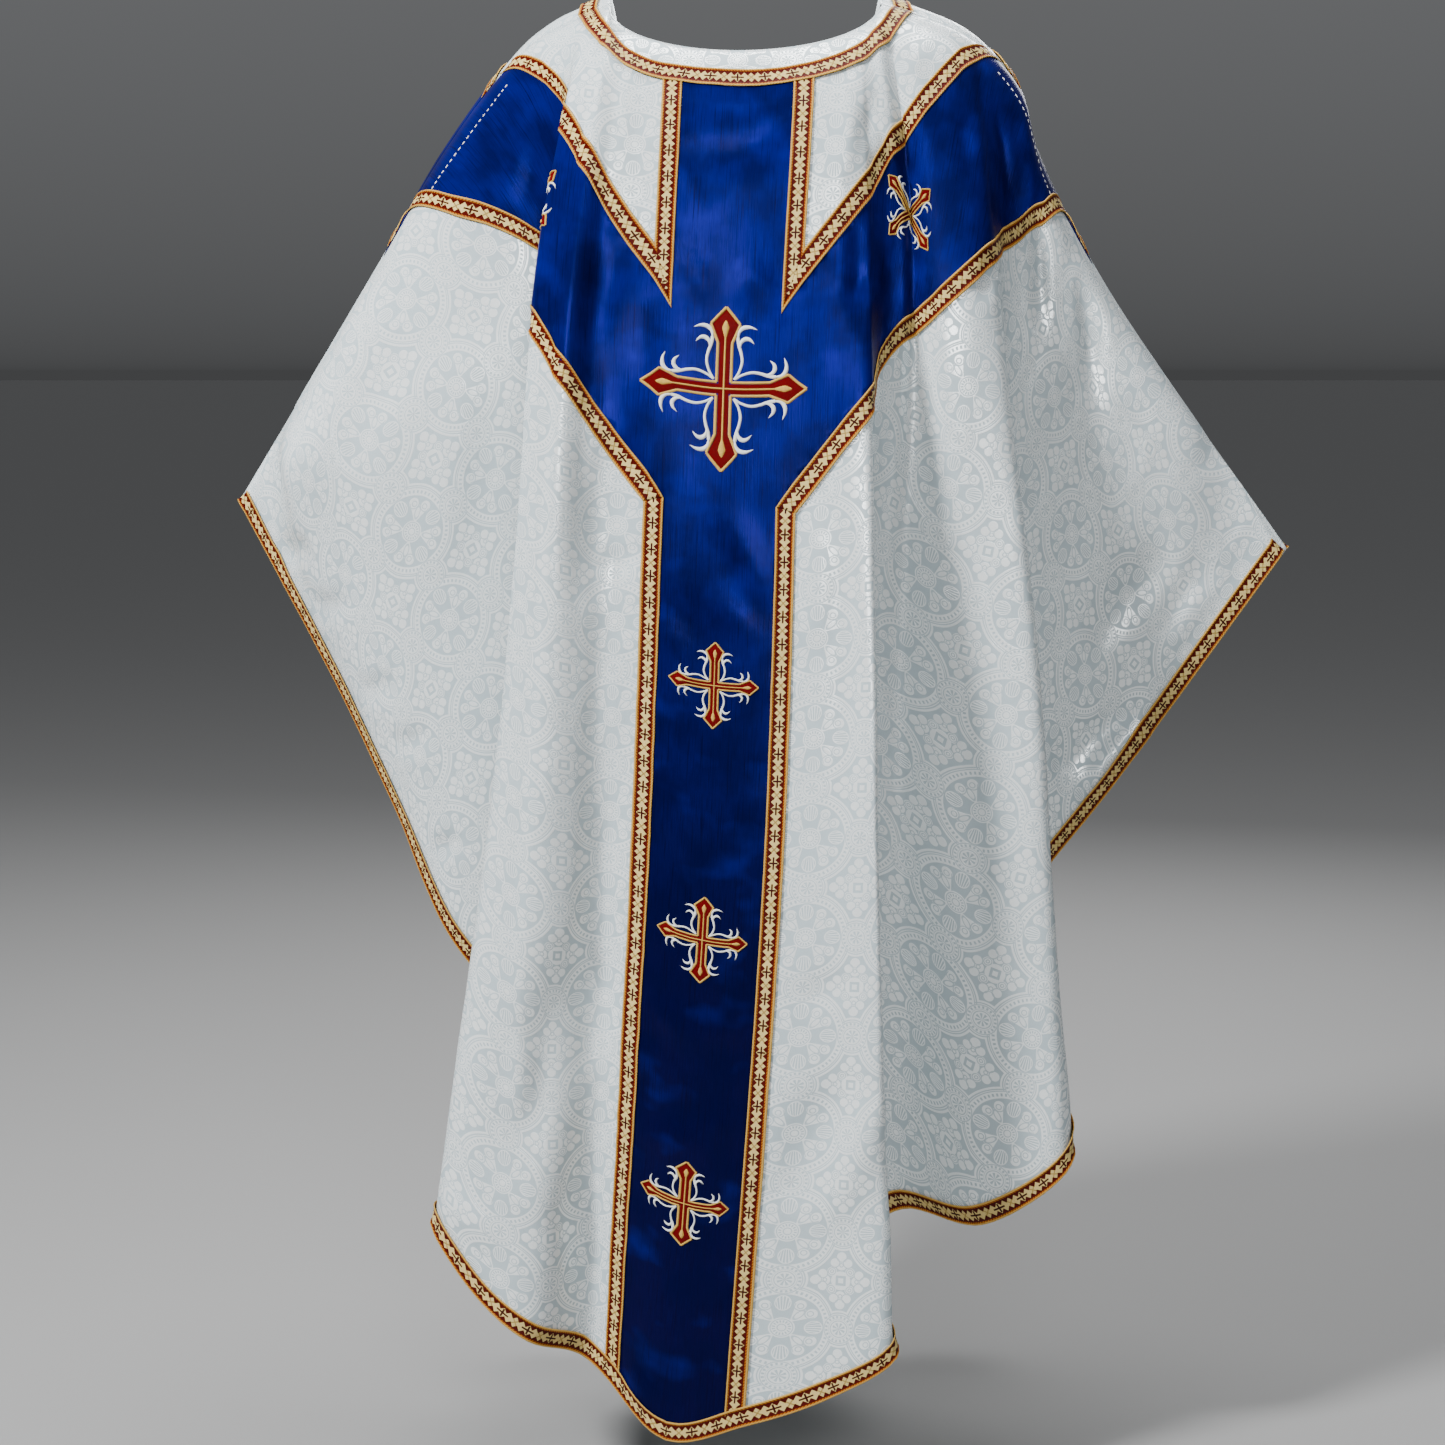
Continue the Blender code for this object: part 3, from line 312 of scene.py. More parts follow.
FRONT_STRONG = [
    # body
    Crease((0.095, 0.430), (0.102, 0.510), (0.108, 0.610), 0.018, -0.0050),
    Crease((-0.100, 0.470), (-0.108, 0.560), (-0.112, 0.650), 0.018, 0.0045),
    Crease((0.130, 0.880), (0.150, 0.960), (0.190, 1.060), 0.026, -0.0090),
    Crease((-0.130, 0.960), (-0.112, 1.030), (-0.100, 1.110), 0.022, -0.0060),
    Crease((-0.195, 1.040), (-0.170, 1.080), (-0.140, 1.110), 0.018, 0.0055),
    Crease((0.110, 0.700), (0.118, 0.780), (0.122, 0.850), 0.016, 0.0040),
    # sleeves
    Crease((0.640, 0.300), (0.612, 0.350), (0.598, 0.410), 0.020, -0.0070),
    Crease((0.668, 0.420), (0.640, 0.470), (0.600, 0.520), 0.022, -0.0085),
    Crease((0.430, 0.190), (0.462, 0.245), (0.485, 0.330), 0.018, -0.0050),
    Crease((-0.690, 0.330), (-0.655, 0.352), (-0.620, 0.362), 0.012, -0.0035),
    Crease((-0.650, 0.510), (-0.615, 0.518), (-0.580, 0.520), 0.012, -0.0035),
    Crease((-0.440, 0.200), (-0.490, 0.260), (-0.530, 0.350), 0.022, -0.0050),
    Crease((-0.330, 0.560), (-0.360, 0.680), (-0.400, 0.790), 0.024, -0.0050),
]

CREASE_POINTS = 13           # on the curve through a crease's three points
CREASE_SOFT_ENDS = 0.7       # below 1, a crease keeps its height nearer to its ends
CREASE_DIP = 0.3             # height of the wider, opposite roll around each crease, as a share

# Unevenness of hanging cloth: height, and size of a wave across and down the cloth
Swell = namedtuple("Swell", "height across down shift")
SWELLS = [
    Swell(0.0030, 0.085, 0.34, 0.0),
    Swell(0.0011, 0.034, 0.11, 5.5),
    Swell(0.0004, 0.016, 0.035, 11.5),
]
RELIEF_FROM_SEAM = 0.035     # this far below the top edge the relief has its full height
PUCKER_HEIGHT = 0.0011       # small gathers beside the sewing
PUCKER_REACH = 0.016
PUCKER_LENGTH = 0.015
PUCKER_DEPTH = 0.05          # how far one gather keeps its shape away from the line

# Crosses on the back orphrey: centre in the flat, half size, turn clockwise.
Cross = namedtuple("Cross", "name across down half turn")
CROSSES = [
    Cross("cross_large", 0.0, 0.392, 0.073, 0.0),
    Cross("cross_column_1", 0.0, 0.654, 0.038, 0.0),
    Cross("cross_column_2", 0.0, 0.880, 0.038, 0.0),
    Cross("cross_column_3", 0.0, 1.118, 0.038, 0.0),
    Cross("cross_arm_left", -0.181, 0.234, 0.038, -math.radians(40)),
    Cross("cross_arm_right", 0.172, 0.221, 0.038, math.radians(40)),
]
BAR_HALF = 0.080             # half width of a cross bar, as a share of its half size
FLARE_HALF = 0.17            # half width of the pointed head
FLARE_FROM = 0.56            # where the bar starts to widen
FLARE_AT = 0.79              # where the head is widest


# Hang of the cloth

def smooth_path(points, at, first=None):
    """Point on a smooth path through points; at counts in points (1.5 is midway
    between the second and the third).  first is the path's direction at its start."""
    points = np.asarray(points, float)
    steps = np.linalg.norm(np.diff(points, axis=0), axis=1) ** 0.5 + 1e-9
    slopes = np.diff(points, axis=0) / steps[:, None]
    tangents = np.empty_like(points)
    tangents[0], tangents[-1] = slopes[0], slopes[-1]
    share = (steps[:-1] / (steps[:-1] + steps[1:]))[:, None]
    tangents[1:-1] = (1 - share) * slopes[:-1] + share * slopes[1:]
    if first is not None:
        tangents[0] = np.asarray(first) * np.linalg.norm(slopes[0])
    at = np.clip(np.asarray(at, float), 0, len(points) - 1 - 1e-9)
    span = at.astype(int)
    f = (at - span)[:, None]
    reach = steps[span][:, None]
    start, end = points[span], points[span + 1]
    return ((2 * f**3 - 3 * f**2 + 1) * start + (3 * f**2 - 2 * f**3) * end
            + (f**3 - 2 * f**2 + f) * reach * tangents[span]
            + (f**3 - f**2) * reach * tangents[span + 1])


def even_path(points, shares, first=None):
    """Points on a smooth path at the given shares of its length."""
    at = np.linspace(0, len(points) - 1, PATH_SAMPLES * (len(points) - 1) + 1)
    fine = smooth_path(points, at, first)
    run = np.concatenate([[0], np.cumsum(np.linalg.norm(np.diff(fine, axis=0), axis=1))])
    return np.stack([np.interp(np.asarray(shares) * run[-1], run, fine[:, k])
                     for k in range(3)], axis=1)


def even_spans(points, at):
    """Points on a smooth path, evenly spaced between one given point and the next."""
    spans = len(points) - 1
    fine = smooth_path(points, np.linspace(0, spans, PATH_SAMPLES * spans + 1))
    run = np.concatenate([[0], np.cumsum(np.linalg.norm(np.diff(fine, axis=0), axis=1))])
    stops = np.interp(at, range(spans + 1), run[::PATH_SAMPLES])
    return np.stack([np.interp(stops, run, fine[:, k]) for k in range(3)], axis=1)


def seam_worn(side, along):
    """Place of the shoulder seam at a distance from the neck point."""
    line = SEAM_LEFT if side < 0 else SEAM_RIGHT
    places = np.array([(p.x, SEAM_SWING[side] * (p.x - line[0].x), p.z) for p in line])
    at = np.interp(along, [p.along for p in line], range(len(line)))
    return smooth_path(places, np.atleast_1d(at))[0]


def edge_table():
    """Half of the hem and side edge in the flat, with distances from its point."""
    turn = np.linspace(0, math.pi / 2, EDGE_SAMPLES)
    across = HALF_WIDTH * np.sin(turn) ** EDGE_CROWDING
    first, second = HEM_ROUNDNESS
    rest = np.clip(1 - (across / HALF_WIDTH) ** first, 0, 1)
    down = TIP_DROP + (CENTRE_LENGTH - TIP_DROP) * rest ** (1 / second)
    run = np.concatenate([[0], np.cumsum(np.hypot(np.diff(across), np.diff(down)))])
    return run, across, down


EDGE_RUN, EDGE_ACROSS, EDGE_DOWN = edge_table()
EDGE_LENGTH = EDGE_RUN[-1]


def edge_flat(distance):
    """Flat place on the hem or side edge, the direction into the cloth and along it."""
    def place(d):
        across = np.interp(abs(d), EDGE_RUN, EDGE_ACROSS)
        return np.array([math.copysign(across, d), np.interp(abs(d), EDGE_RUN, EDGE_DOWN)])

    reach = 0.004
    limit = EDGE_LENGTH - reach
    middle = max(-limit, min(limit, distance))
    along = place(middle + reach) - place(middle - reach)
    along /= np.linalg.norm(along)
    return place(distance), np.array([along[1], -along[0]]), along


def top_flat(cut, across):
    """Flat place on the neckline or the shoulder seam."""
    share = min(abs(across) / NECK_HALF, 1.0)
    neck = cut.neck_depth * math.sqrt(1 - share ** 2)
    seam = max(abs(across) - NECK_HALF, 0.0) * math.tan(SEAM_SLOPE)
    return np.array([across, neck + seam])


def top_worn(cut, across):
    """Worn place on the top edge, and the direction in which the cloth leaves it."""
    side = 1 if -cut.facing * across > 0 else -1
    if abs(across) >= NECK_HALF:
        place = seam_worn(side, (abs(across) - NECK_HALF) / math.cos(SEAM_SLOPE))
        place[1] += cut.facing * SEAM_GAP / 2
        return place, np.array([0.0, cut.facing * SHOULDER_ROUND, cut.seam_rise])
    share = abs(across) / NECK_HALF
    dip = math.sqrt(1 - share ** 2)
    place = seam_worn(side, 0.0)
    place[0] = place[0] * share + cut.rim_shift * dip
    place[1] = cut.facing * (SEAM_GAP / 2 + cut.rim_out * dip)
    place[2] = -cut.rim_drop * dip
    lean = cut.rim_lean * dip
    leave = np.array([0.0, cut.facing * math.cos(lean), -math.sin(lean)])
    return place, leave * SHOULDER_ROUND


def row_shares():
    """Shares of a line's length at which the rows lie, the last before the edge."""
    return np.linspace(0, 1, ROWS) ** TOP_CROWDING


def to_edge(inner, edge):
    """The rows between the inner side of the hem galloon and the edge."""
    return [inner + (edge - inner) * (k + 1) / HEM_ROWS for k in range(HEM_ROWS)]


def worn_line(cut, fold, neighbours):
    """Points of one fold line as worn, down to the galloon's inner side, then the edge."""
    def place(x, out, z):
        return np.array([-cut.facing * x, cut.facing * out, z])

    before, after = neighbours
    top, leave = top_worn(cut, fold.top)
    hem = place(fold.hem_x, fold.hem_out, fold.hem_z)
    heights = [top[2] + (hem[2] - top[2]) * k for k in STATIONS]
    chest = place(fold.chest_x, fold.chest_out, heights[0])
    knee = place(fold.knee_x, fold.knee_out, heights[1])
    flat_hem, inward, along = edge_flat(fold.edge)
    flat_top = top_flat(cut, fold.top)
    rise = (flat_top - flat_hem) / np.linalg.norm(flat_top - flat_hem)
    up, aside = np.linalg.solve(np.stack([rise, along], axis=1), inward * GALLOON)
    rise_worn = (knee - hem) / np.linalg.norm(knee - hem)
    along_worn = place(after.hem_x - before.hem_x, after.hem_out - before.hem_out,
                       after.hem_z - before.hem_z)
    along_worn /= np.linalg.norm(along_worn)
    inner = hem + up * rise_worn + aside * along_worn
    line = even_path([top, chest, knee, inner], row_shares(), leave)
    return np.vstack([line, to_edge(inner, hem)])


def tip_line(cut, side):
    """The last stretch of the shoulder seam, which closes the panel at the wrist."""
    start = SEAM_LENGTH - TIP_RUN
    stops = list(start + row_shares() * (TIP_RUN - GALLOON))
    stops += to_edge(SEAM_LENGTH - GALLOON, SEAM_LENGTH)
    line = [seam_worn(-cut.facing * side, s) for s in stops]
    return np.array(line) + np.array([0, cut.facing * SEAM_GAP / 2, 0])


def flat_line(cut, top, edge):
    """Flat places of the rows of one line."""
    start = top_flat(cut, top)
    hem, inward, _ = edge_flat(edge)
    inner = hem + inward * GALLOON
    if abs(edge) >= EDGE_LENGTH - 1e-6:
        seam = (start - hem) / np.linalg.norm(start - hem)
        inner = hem + seam * GALLOON
    shares = row_shares()[:, None]
    return np.vstack([start + (inner - start) * shares, to_edge(inner, hem)])


def panel_points(cut):
    """Flat and worn places of a whole panel, indexed by column and row."""
    folds = cut.folds
    tip_top = NECK_HALF + (SEAM_LENGTH - TIP_RUN) * math.cos(SEAM_SLOPE)
    tops = [-tip_top] + [f.top for f in folds] + [tip_top]
    edges = [-EDGE_LENGTH] + [f.edge for f in folds] + [EDGE_LENGTH]
    lines = [tip_line(cut, -1)]
    for index, fold in enumerate(folds):
        before = folds[max(index - 1, 0)]
        after = folds[min(index + 1, len(folds) - 1)]
        lines.append(worn_line(cut, fold, (before, after)))
    lines.append(tip_line(cut, 1))
    at = [0.0]
    for index in range(len(lines) - 1):
        count = max(LEAST_COLUMNS,
                    math.ceil((edges[index + 1] - edges[index]) / COLUMN_STEP))
        at += [index + (k + 1) / count for k in range(count)]
    at = np.array(at)
    rows = [even_spans([line[row] for line in lines], at) for row in range(ROWS + HEM_ROWS)]
    worn = np.stack(rows, axis=1)
    top_at = np.interp(at, range(len(tops)), tops)
    edge_at = np.interp(at, range(len(edges)), edges)
    flat = np.array([flat_line(cut, top, edge) for top, edge in zip(top_at, edge_at)])
    true_top = np.array([top_worn(cut, top)[0] for top in top_at])
    fade = 1 - row_shares()[None, :, None]
    worn[:, :ROWS] += (true_top - worn[:, 0])[:, None] * fade
    return flat, worn


# Relief pressed into a panel

def soft_step(value, start, end):
    """0 before start, 1 after end, smooth between."""
    t = np.clip((value - start) / (end - start), 0, 1)
    return t * t * (3 - 2 * t)


def top_distance(cut, flat):
    """Flat distance below the neckline or the shoulder seam."""
    across = np.abs(flat[..., 0])
    neck = cut.neck_depth * np.sqrt(np.clip(1 - (across / NECK_HALF) ** 2, 0, 1))
    seam = np.clip(across - NECK_HALF, 0, None) * math.tan(SEAM_SLOPE)
    return np.clip((flat[..., 1] - neck - seam) * math.cos(SEAM_SLOPE), 0, None)


def nearest_on(path, flat):
    """Distance from a path, distance along it, and its length."""
    path = np.asarray(path, float)
    best = np.full(flat.shape[:-1], 9.0)
    along = np.zeros(flat.shape[:-1])
    run = 0.0
    for start, end in zip(path[:-1], path[1:]):
        step = end - start
        length = np.linalg.norm(step)
        if length < 1e-9:
            continue
        t = np.clip(((flat - start) @ step) / length**2, 0, 1)
        gap = np.linalg.norm(flat - (start + t[..., None] * step), axis=-1)
        closer = gap < best
        best = np.where(closer, gap, best)
        along = np.where(closer, run + t * length, along)
        run += length
    return best, along, run


def photo_ray(x, y):
    """Direction from the camera through a pixel of the photo."""
    ahead = (CAMERA_AIM - CAMERA_AT).normalized()
    right = ahead.cross(Vector((0, 0, 1))).normalized()
    up = right.cross(ahead)
    middle = PHOTO_SIZE / 2
    reach = PHOTO_SIZE * LENS / SENSOR
    return (ahead + right * ((x - middle) / reach) + up * ((middle - y) / reach)).normalized()


def from_photo(creases, flat, worn):
    """Creases given in pixels, brought to the flat cut: each point is where the
    camera's ray through its pixel meets the cloth as it hangs."""
    columns, rows = worn.shape[:2]
    hung = [Vector(p) for p in worn.reshape(-1, 3)]
    cut = [Vector((across, down, 0)) for across, down in flat.reshape(-1, 2)]
    faces = [(c * rows + r, (c + 1) * rows + r, (c + 1) * rows + r + 1, c * rows + r + 1)
             for c in range(columns - 1) for r in range(rows - 1)]
    tree = BVHTree.FromPolygons(hung, faces)

    def under(pixel):
        spot, _, index, _ = tree.ray_cast(CAMERA_AT, photo_ray(*pixel))
        weights = poly_3d_calc([hung[c] for c in faces[index]], spot)
        return sum((cut[c] * w for c, w in zip(faces[index], weights)), Vector())[:2]

    return [c._replace(start=under(c.start), middle=under(c.middle), end=under(c.end))
            for c in creases]


def all_creases(soft, strong):
    """A panel's creases, those of body and sleeves at their full height."""
    return soft + [c._replace(height=c.height * STRONG) for c in strong]


def curve_through(start, middle, end):
    """Points on the curve through three flat points."""
    t = np.linspace(0, 1, CREASE_POINTS)[:, None]
    start, middle, end = (np.asarray(p, float) for p in (start, middle, end))
    bend = 2 * middle - (start + end) / 2
    return (1 - t) ** 2 * start + 2 * t * (1 - t) * bend + t**2 * end


def press_creases(flat, creases):
    """Lift of the cloth from its creases."""
    lift = np.zeros(flat.shape[:-1])
    for crease in creases:
        path = curve_through(crease.start, crease.middle, crease.end)
        gap, along, length = nearest_on(path, flat)
        ends = np.sin(np.pi * np.clip(along / length, 0, 1)) ** CREASE_SOFT_ENDS
        share = gap / crease.width
        roll = np.exp(-share ** 2) - CREASE_DIP * np.exp(-(share / 2) ** 2)
        lift += crease.height * ends * roll
    return lift


def noise_over(flat, across_size, down_size, seed):
    """Smooth unevenness between about -1 and 1, longer down the cloth than across."""
    place = [(a / across_size, d / down_size, seed) for a, d in flat.reshape(-1, 2)]
    return np.array([noise.noise(Vector(p)) for p in place]).reshape(flat.shape[:-1])


def pucker(flat, sewn_lines, seed):
    """Small gathers beside the sewing lines."""
    lift = np.zeros(flat.shape[:-1])
    for index, line in enumerate(sewn_lines):
        gap, along, _ = nearest_on(line, flat)
        near = np.exp(-(gap / PUCKER_REACH) ** 2)
        where = near > 0.02
        spots = [(s / PUCKER_LENGTH, index * 7.3 + seed, g / PUCKER_DEPTH)
                 for s, g in zip(along[where], gap[where])]
        wave = np.array([noise.noise(Vector(p)) for p in spots])
        lift[where] += PUCKER_HEIGHT * near[where] * wave
    return lift


def grid_normals(worn, facing):
    """Directions out of the cloth at each point of its grid."""
    along = np.gradient(worn, axis=0)
    down = np.gradient(worn, axis=1)
    out = np.cross(down, along)
    out /= np.linalg.norm(out, axis=-1, keepdims=True) + 1e-12
    middle = out[out.shape[0] // 2, out.shape[1] // 2]
    return out if middle[1] * facing > 0 else -out


class Panel:
    """A panel's cloth: its flat grid, where it hangs, and which way is out."""

    def __init__(self, cut, creases, seed):
        self.cut = cut
        self.flat, self.worn = panel_points(cut)
        self.pattern = Pattern(self)
        if cut is BACK:
            creases = from_photo(creases, self.flat, self.worn)
        outward = grid_normals(self.worn, cut.facing)
        lift = self.relief(creases, seed)
        self.worn = self.worn + outward * lift[..., None]
        self.outward = grid_normals(self.worn, cut.facing)
        self.keep_seam_flush()
        self.mesh = self.make_mesh()
        self.find = Finder(self)

    def relief(self, creases, seed):
        flat = self.flat
        lift = press_creases(flat, creases)
        for swell in SWELLS:
            wave = noise_over(flat, swell.across, swell.down, seed + swell.shift)
            lift += swell.height * wave
        lift += pucker(flat, self.pattern.sewn_lines(), seed)
        return lift * soft_step(top_distance(self.cut, flat), 0.0, RELIEF_FROM_SEAM)

    def keep_seam_flush(self):
        """At the shoulder seam the way out of the cloth lies in the seam's plane."""
        columns, rows = self.flat.shape[:2]
        for column in range(columns):
            for row in range(rows):
                side_column = column in (0, columns - 1)
                across = self.flat[column, row, 0]
                if not side_column and (row or abs(across) < NECK_HALF - 1e-6):
                    continue
                side = 1 if self.worn[column, row, 0] > 0 else -1
                plane = np.array([-SEAM_SWING[side], 1.0, 0.0])
                plane /= np.linalg.norm(plane)
                out = self.outward[column, row]
                out = out - plane * (out @ plane)
                self.outward[column, row] = out / np.linalg.norm(out)

    def make_mesh(self):
        """The panel's triangles, lying flat, with grid indices kept at each point."""
        columns, rows = (n - 1 for n in self.flat.shape[:2])
        mesh = bmesh.new()
        bmesh.ops.create_grid(mesh, x_segments=columns, y_segments=rows, size=1.0)
        column_layer = mesh.verts.layers.int.new("column")
        row_layer = mesh.verts.layers.int.new("row")
        for vert in mesh.verts:
            column = round((vert.co.x + 1) / 2 * columns)
            row = round((1 - vert.co.y) / 2 * rows)
            vert[column_layer], vert[row_layer] = column, row
            across, down = self.flat[column, row]
            vert.co = (across, -down, 0)
        bmesh.ops.triangulate(mesh, faces=mesh.faces[:])
        return mesh

    def hang(self, piece, lift):
        """Move a flat piece cut from the panel to where it hangs, lifted off the cloth."""
        columns = piece.verts.layers.int["column"]
        rows = piece.verts.layers.int["row"]
        for vert in piece.verts:
            column, row = vert[columns], vert[rows]
            vert.co = self.worn[column, row] + self.outward[column, row] * lift


class Finder:
    """Finds where any flat point of a panel hangs, from the panel's own triangles."""

    def __init__(self, panel):
        mesh = panel.mesh
        columns = mesh.verts.layers.int["column"]
        rows = mesh.verts.layers.int["row"]
        self.flat = [v.co.copy() for v in mesh.verts]
        self.worn = [Vector(panel.worn[v[columns], v[rows]]) for v in mesh.verts]
        self.out = [Vector(panel.outward[v[columns], v[rows]]) for v in mesh.verts]
        mesh.verts.index_update()
        self.faces = [tuple(v.index for v in f.verts) for f in mesh.faces]
        self.tree = BVHTree.FromPolygons(self.flat, self.faces)

    def place(self, across, down, lift):
        spot, _, index, _ = self.tree.find_nearest(Vector((across, -down, 0)))
        corners = self.faces[index]
        weights = poly_3d_calc([self.flat[c] for c in corners], spot)
        place = sum((self.worn[c] * w for c, w in zip(corners, weights)), Vector())
        out = sum((self.out[c] * w for c, w in zip(corners, weights)), Vector())
        return place + out.normalized() * lift


# Places of orphrey and galloons in the flat

def mirrored(points, side):
    """The points themselves on the right, their mirror image on the left."""
    return [(a * side, d) for a, d in points]


def oval(axes, turn):
    """Point on a squarish oval round the neck; turn is the angle from the centre."""
    across, down = (math.copysign(abs(f) ** (2 / NECK_SQUARE), f)
                    for f in (math.sin(turn), math.cos(turn)))
    return axes[0] * across, axes[1] * down


class Pattern:
    """Flat outlines of the orphrey and the galloons of one panel."""

    def __init__(self, panel):
        cut = panel.cut
        lower = cut.neck_depth - BACK.neck_depth
        self.fork = (COLUMN_HALF, FORK_DOWN + lower)
        self.elbow = (COLUMN_HALF, ELBOW_DOWN + lower)
        self.side = COLUMN_HALF + GALLOON
        self.upper = self.arm_edge(self.fork, UPPER_EDGE, 0.0)
        self.upper_white = self.arm_edge(self.fork, UPPER_EDGE, -GALLOON)
        self.lower = self.arm_edge(self.elbow, LOWER_EDGE, 0.0)
        self.lower_white = self.arm_edge(self.elbow, LOWER_EDGE, GALLOON)
        self.neck_inner = (NECK_HALF + NECK_MARGIN[0], cut.neck_depth + NECK_MARGIN[1])
        self.neck_outer = tuple(n + GALLOON for n in self.neck_inner)
        line = panel.flat[:, ROWS - 1]
        lowest = [tuple(p) for p in line if p[1] > CENTRE_LENGTH / 2]
        self.hem = sorted(lowest)

    def arm_edge(self, start, edge, offset):
        """Points on an arm's edge, from the column's out to the shoulder seam.
        offset is the distance below the edge of the blue."""
        run = np.linspace(-GALLOON, ARM_REACH, 200)
        share = np.clip(run / ARM_RUN, None, 1)
        below = 4 * edge.sag * share * (1 - share) + offset
        across = start[0] + run * math.sin(edge.lean) + below * math.cos(edge.lean)
        down = start[1] - run * math.cos(edge.lean) + below * math.sin(edge.lean)
        above_seam = down - (across - NECK_HALF) * math.tan(SEAM_SLOPE)
        first = self.side if offset else start[0]
        first_run = np.interp(first, across, run)
        last_run = np.interp(0.0, -above_seam, run)
        stops = np.linspace(first_run, last_run, math.ceil((last_run - first_run) / STRIP_STEP))
        return [(float(np.interp(s, run, across)), float(np.interp(s, run, down))) for s in stops]

    def hem_down(self, across):
        """Depth of the inner side of the hem galloon."""
        return float(np.interp(across, [p[0] for p in self.hem], [p[1] for p in self.hem]))

    def neck_down(self, across, axes):
        """Depth of a neck galloon's side at a distance from the centre."""
        return axes[1] * (1 - abs(across / axes[0]) ** NECK_SQUARE) ** (1 / NECK_SQUARE)

    def strips(self):
        """The galloons on the right: name, then the points of both sides, the side by
        the blue first."""
        under = GALLOON / 2    # how far an end runs on under the neck or hem galloon
        blue, white = COLUMN_HALF, self.side
        neck = self.neck_outer
        return [
            ("galloon_column", [self.lower[0], (blue, self.hem_down(blue) + under)],
             [self.lower_white[0], (white, self.hem_down(white) + under)]),
            ("galloon_inner", [self.upper[0], (blue, self.neck_down(blue, neck) - under)],
             [self.upper_white[0], (white, self.neck_down(white, neck) - under)]),
            ("galloon_arm_upper", self.upper, self.upper_white),
            ("galloon_arm_lower", self.lower, self.lower_white),
        ]

    def neck_turn(self, axes):
        """Angle at which an oval round the neck meets the shoulder seam."""
        low, high = 0.0, math.pi / 2 * 1.2
        for _ in range(40):
            turn = (low + high) / 2
            across, down = oval(axes, turn)
            if down > (across - NECK_HALF) * math.tan(SEAM_SLOPE):
                low = turn
            else:
                high = turn
        return low

    def neck_side(self, axes, count=110):
        """Points on one side of the neck galloon, seam to seam."""
        turns = np.linspace(-1, 1, count) * self.neck_turn(axes)
        return np.array([oval(axes, turn) for turn in turns])

    def sewn_lines(self):
        """Lines along which the sewing draws the cloth in."""
        lines = [self.neck_side(self.neck_outer, 21)]
        for _, blue_side, white_side in self.strips():
            for line in (blue_side, white_side):
                few = line[::10] + [line[-1]]
                lines += [few, mirrored(few, -1)]
        return lines

    def on_orphrey(self, across, down):
        """Whether a flat point is on the blue or just beyond its edge."""
        extra = ORPHREY_UNDERLAP
        across = abs(across)
        if across <= COLUMN_HALF + extra:
            return down > self.neck_down(across, self.neck_outer) - extra
        margin = extra / math.sin(UPPER_EDGE.lean)
        top = np.interp(across, *zip(*self.upper))
        bottom = np.interp(across, *zip(*self.lower))
        return top - margin < down < bottom + margin


# Meshes

def finish_object(name, mesh, materials, thickness=None, inward=False):
    """An object from a mesh, with a wall if it is cloth."""
    data = bpy.data.meshes.new(name)
    mesh.to_mesh(data)
    mesh.free()
    thing = bpy.data.objects.new(name, data)
    bpy.context.scene.collection.objects.link(thing)
    for material in materials:
        data.materials.append(material)
    data.shade_smooth()
    if thickness:
        wall = thing.modifiers.new("wall", "SOLIDIFY")
        wall.thickness = thickness
        wall.offset = -1.0 if inward else 1.0
        wall.use_even_offset = False
    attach(thing, "root")
    return thing


def face_out(mesh, facing):
    """Turn a sheet so that most of its faces look away from the wearer."""
    mesh.normal_update()
    total = sum(f.normal.y * facing for f in mesh.faces)
    if total < 0:
        bmesh.ops.reverse_faces(mesh, faces=mesh.faces[:])


def set_cut_map(mesh, panel):
    """The pattern map of a piece cut from a panel: flat metres across and down."""
    columns = mesh.verts.layers.int["column"]
    rows = mesh.verts.layers.int["row"]
    uv = mesh.loops.layers.uv.new("cut")
    for face in mesh.faces:
        for loop in face.loops:
            across, down = panel.flat[loop.vert[columns], loop.vert[rows]]
            loop[uv].uv = (across, -down)


def make_cloth(panel, title, material):
    cloth = panel.mesh.copy()
    set_cut_map(cloth, panel)
    panel.hang(cloth, 0.0)
    face_out(cloth, panel.cut.facing)
    return finish_object(f"cloth_{title}", cloth, [material], CLOTH, inward=True)


def make_orphrey(panel, title, material):
    cloth = panel.mesh.copy()
    gone = []
    for face in cloth.faces:
        centre = face.calc_center_median()
        if not panel.pattern.on_orphrey(centre.x, -centre.y):
            gone.append(face)
    bmesh.ops.delete(cloth, geom=gone, context="FACES")
    set_cut_map(cloth, panel)
    panel.hang(cloth, ORPHREY_LIFT)
    face_out(cloth, panel.cut.facing)
    return finish_object(f"orphrey_{title}", cloth, [material], ORPHREY_CLOTH,
                         inward=True)


# Section of a galloon: place across (-1 to 1) and share of the cord's rise
GALLOON_SECTION = [(-1.0, 0.0), (-0.95, 0.75), (-0.88, 1.0), (-0.81, 0.75), (-0.74, 0.1),
                   (-0.4, 0.15), (0.0, 0.2), (0.4, 0.15), (0.74, 0.1), (0.81, 0.75),
                   (0.88, 1.0), (0.95, 0.75), (1.0, 0.0)]


def trim_map(mesh):
    """The pattern map of trims and embroidery: metres along and aside."""
    maps = mesh.loops.layers.uv
    return maps["trim"] if "trim" in maps.keys() else maps.new("trim")


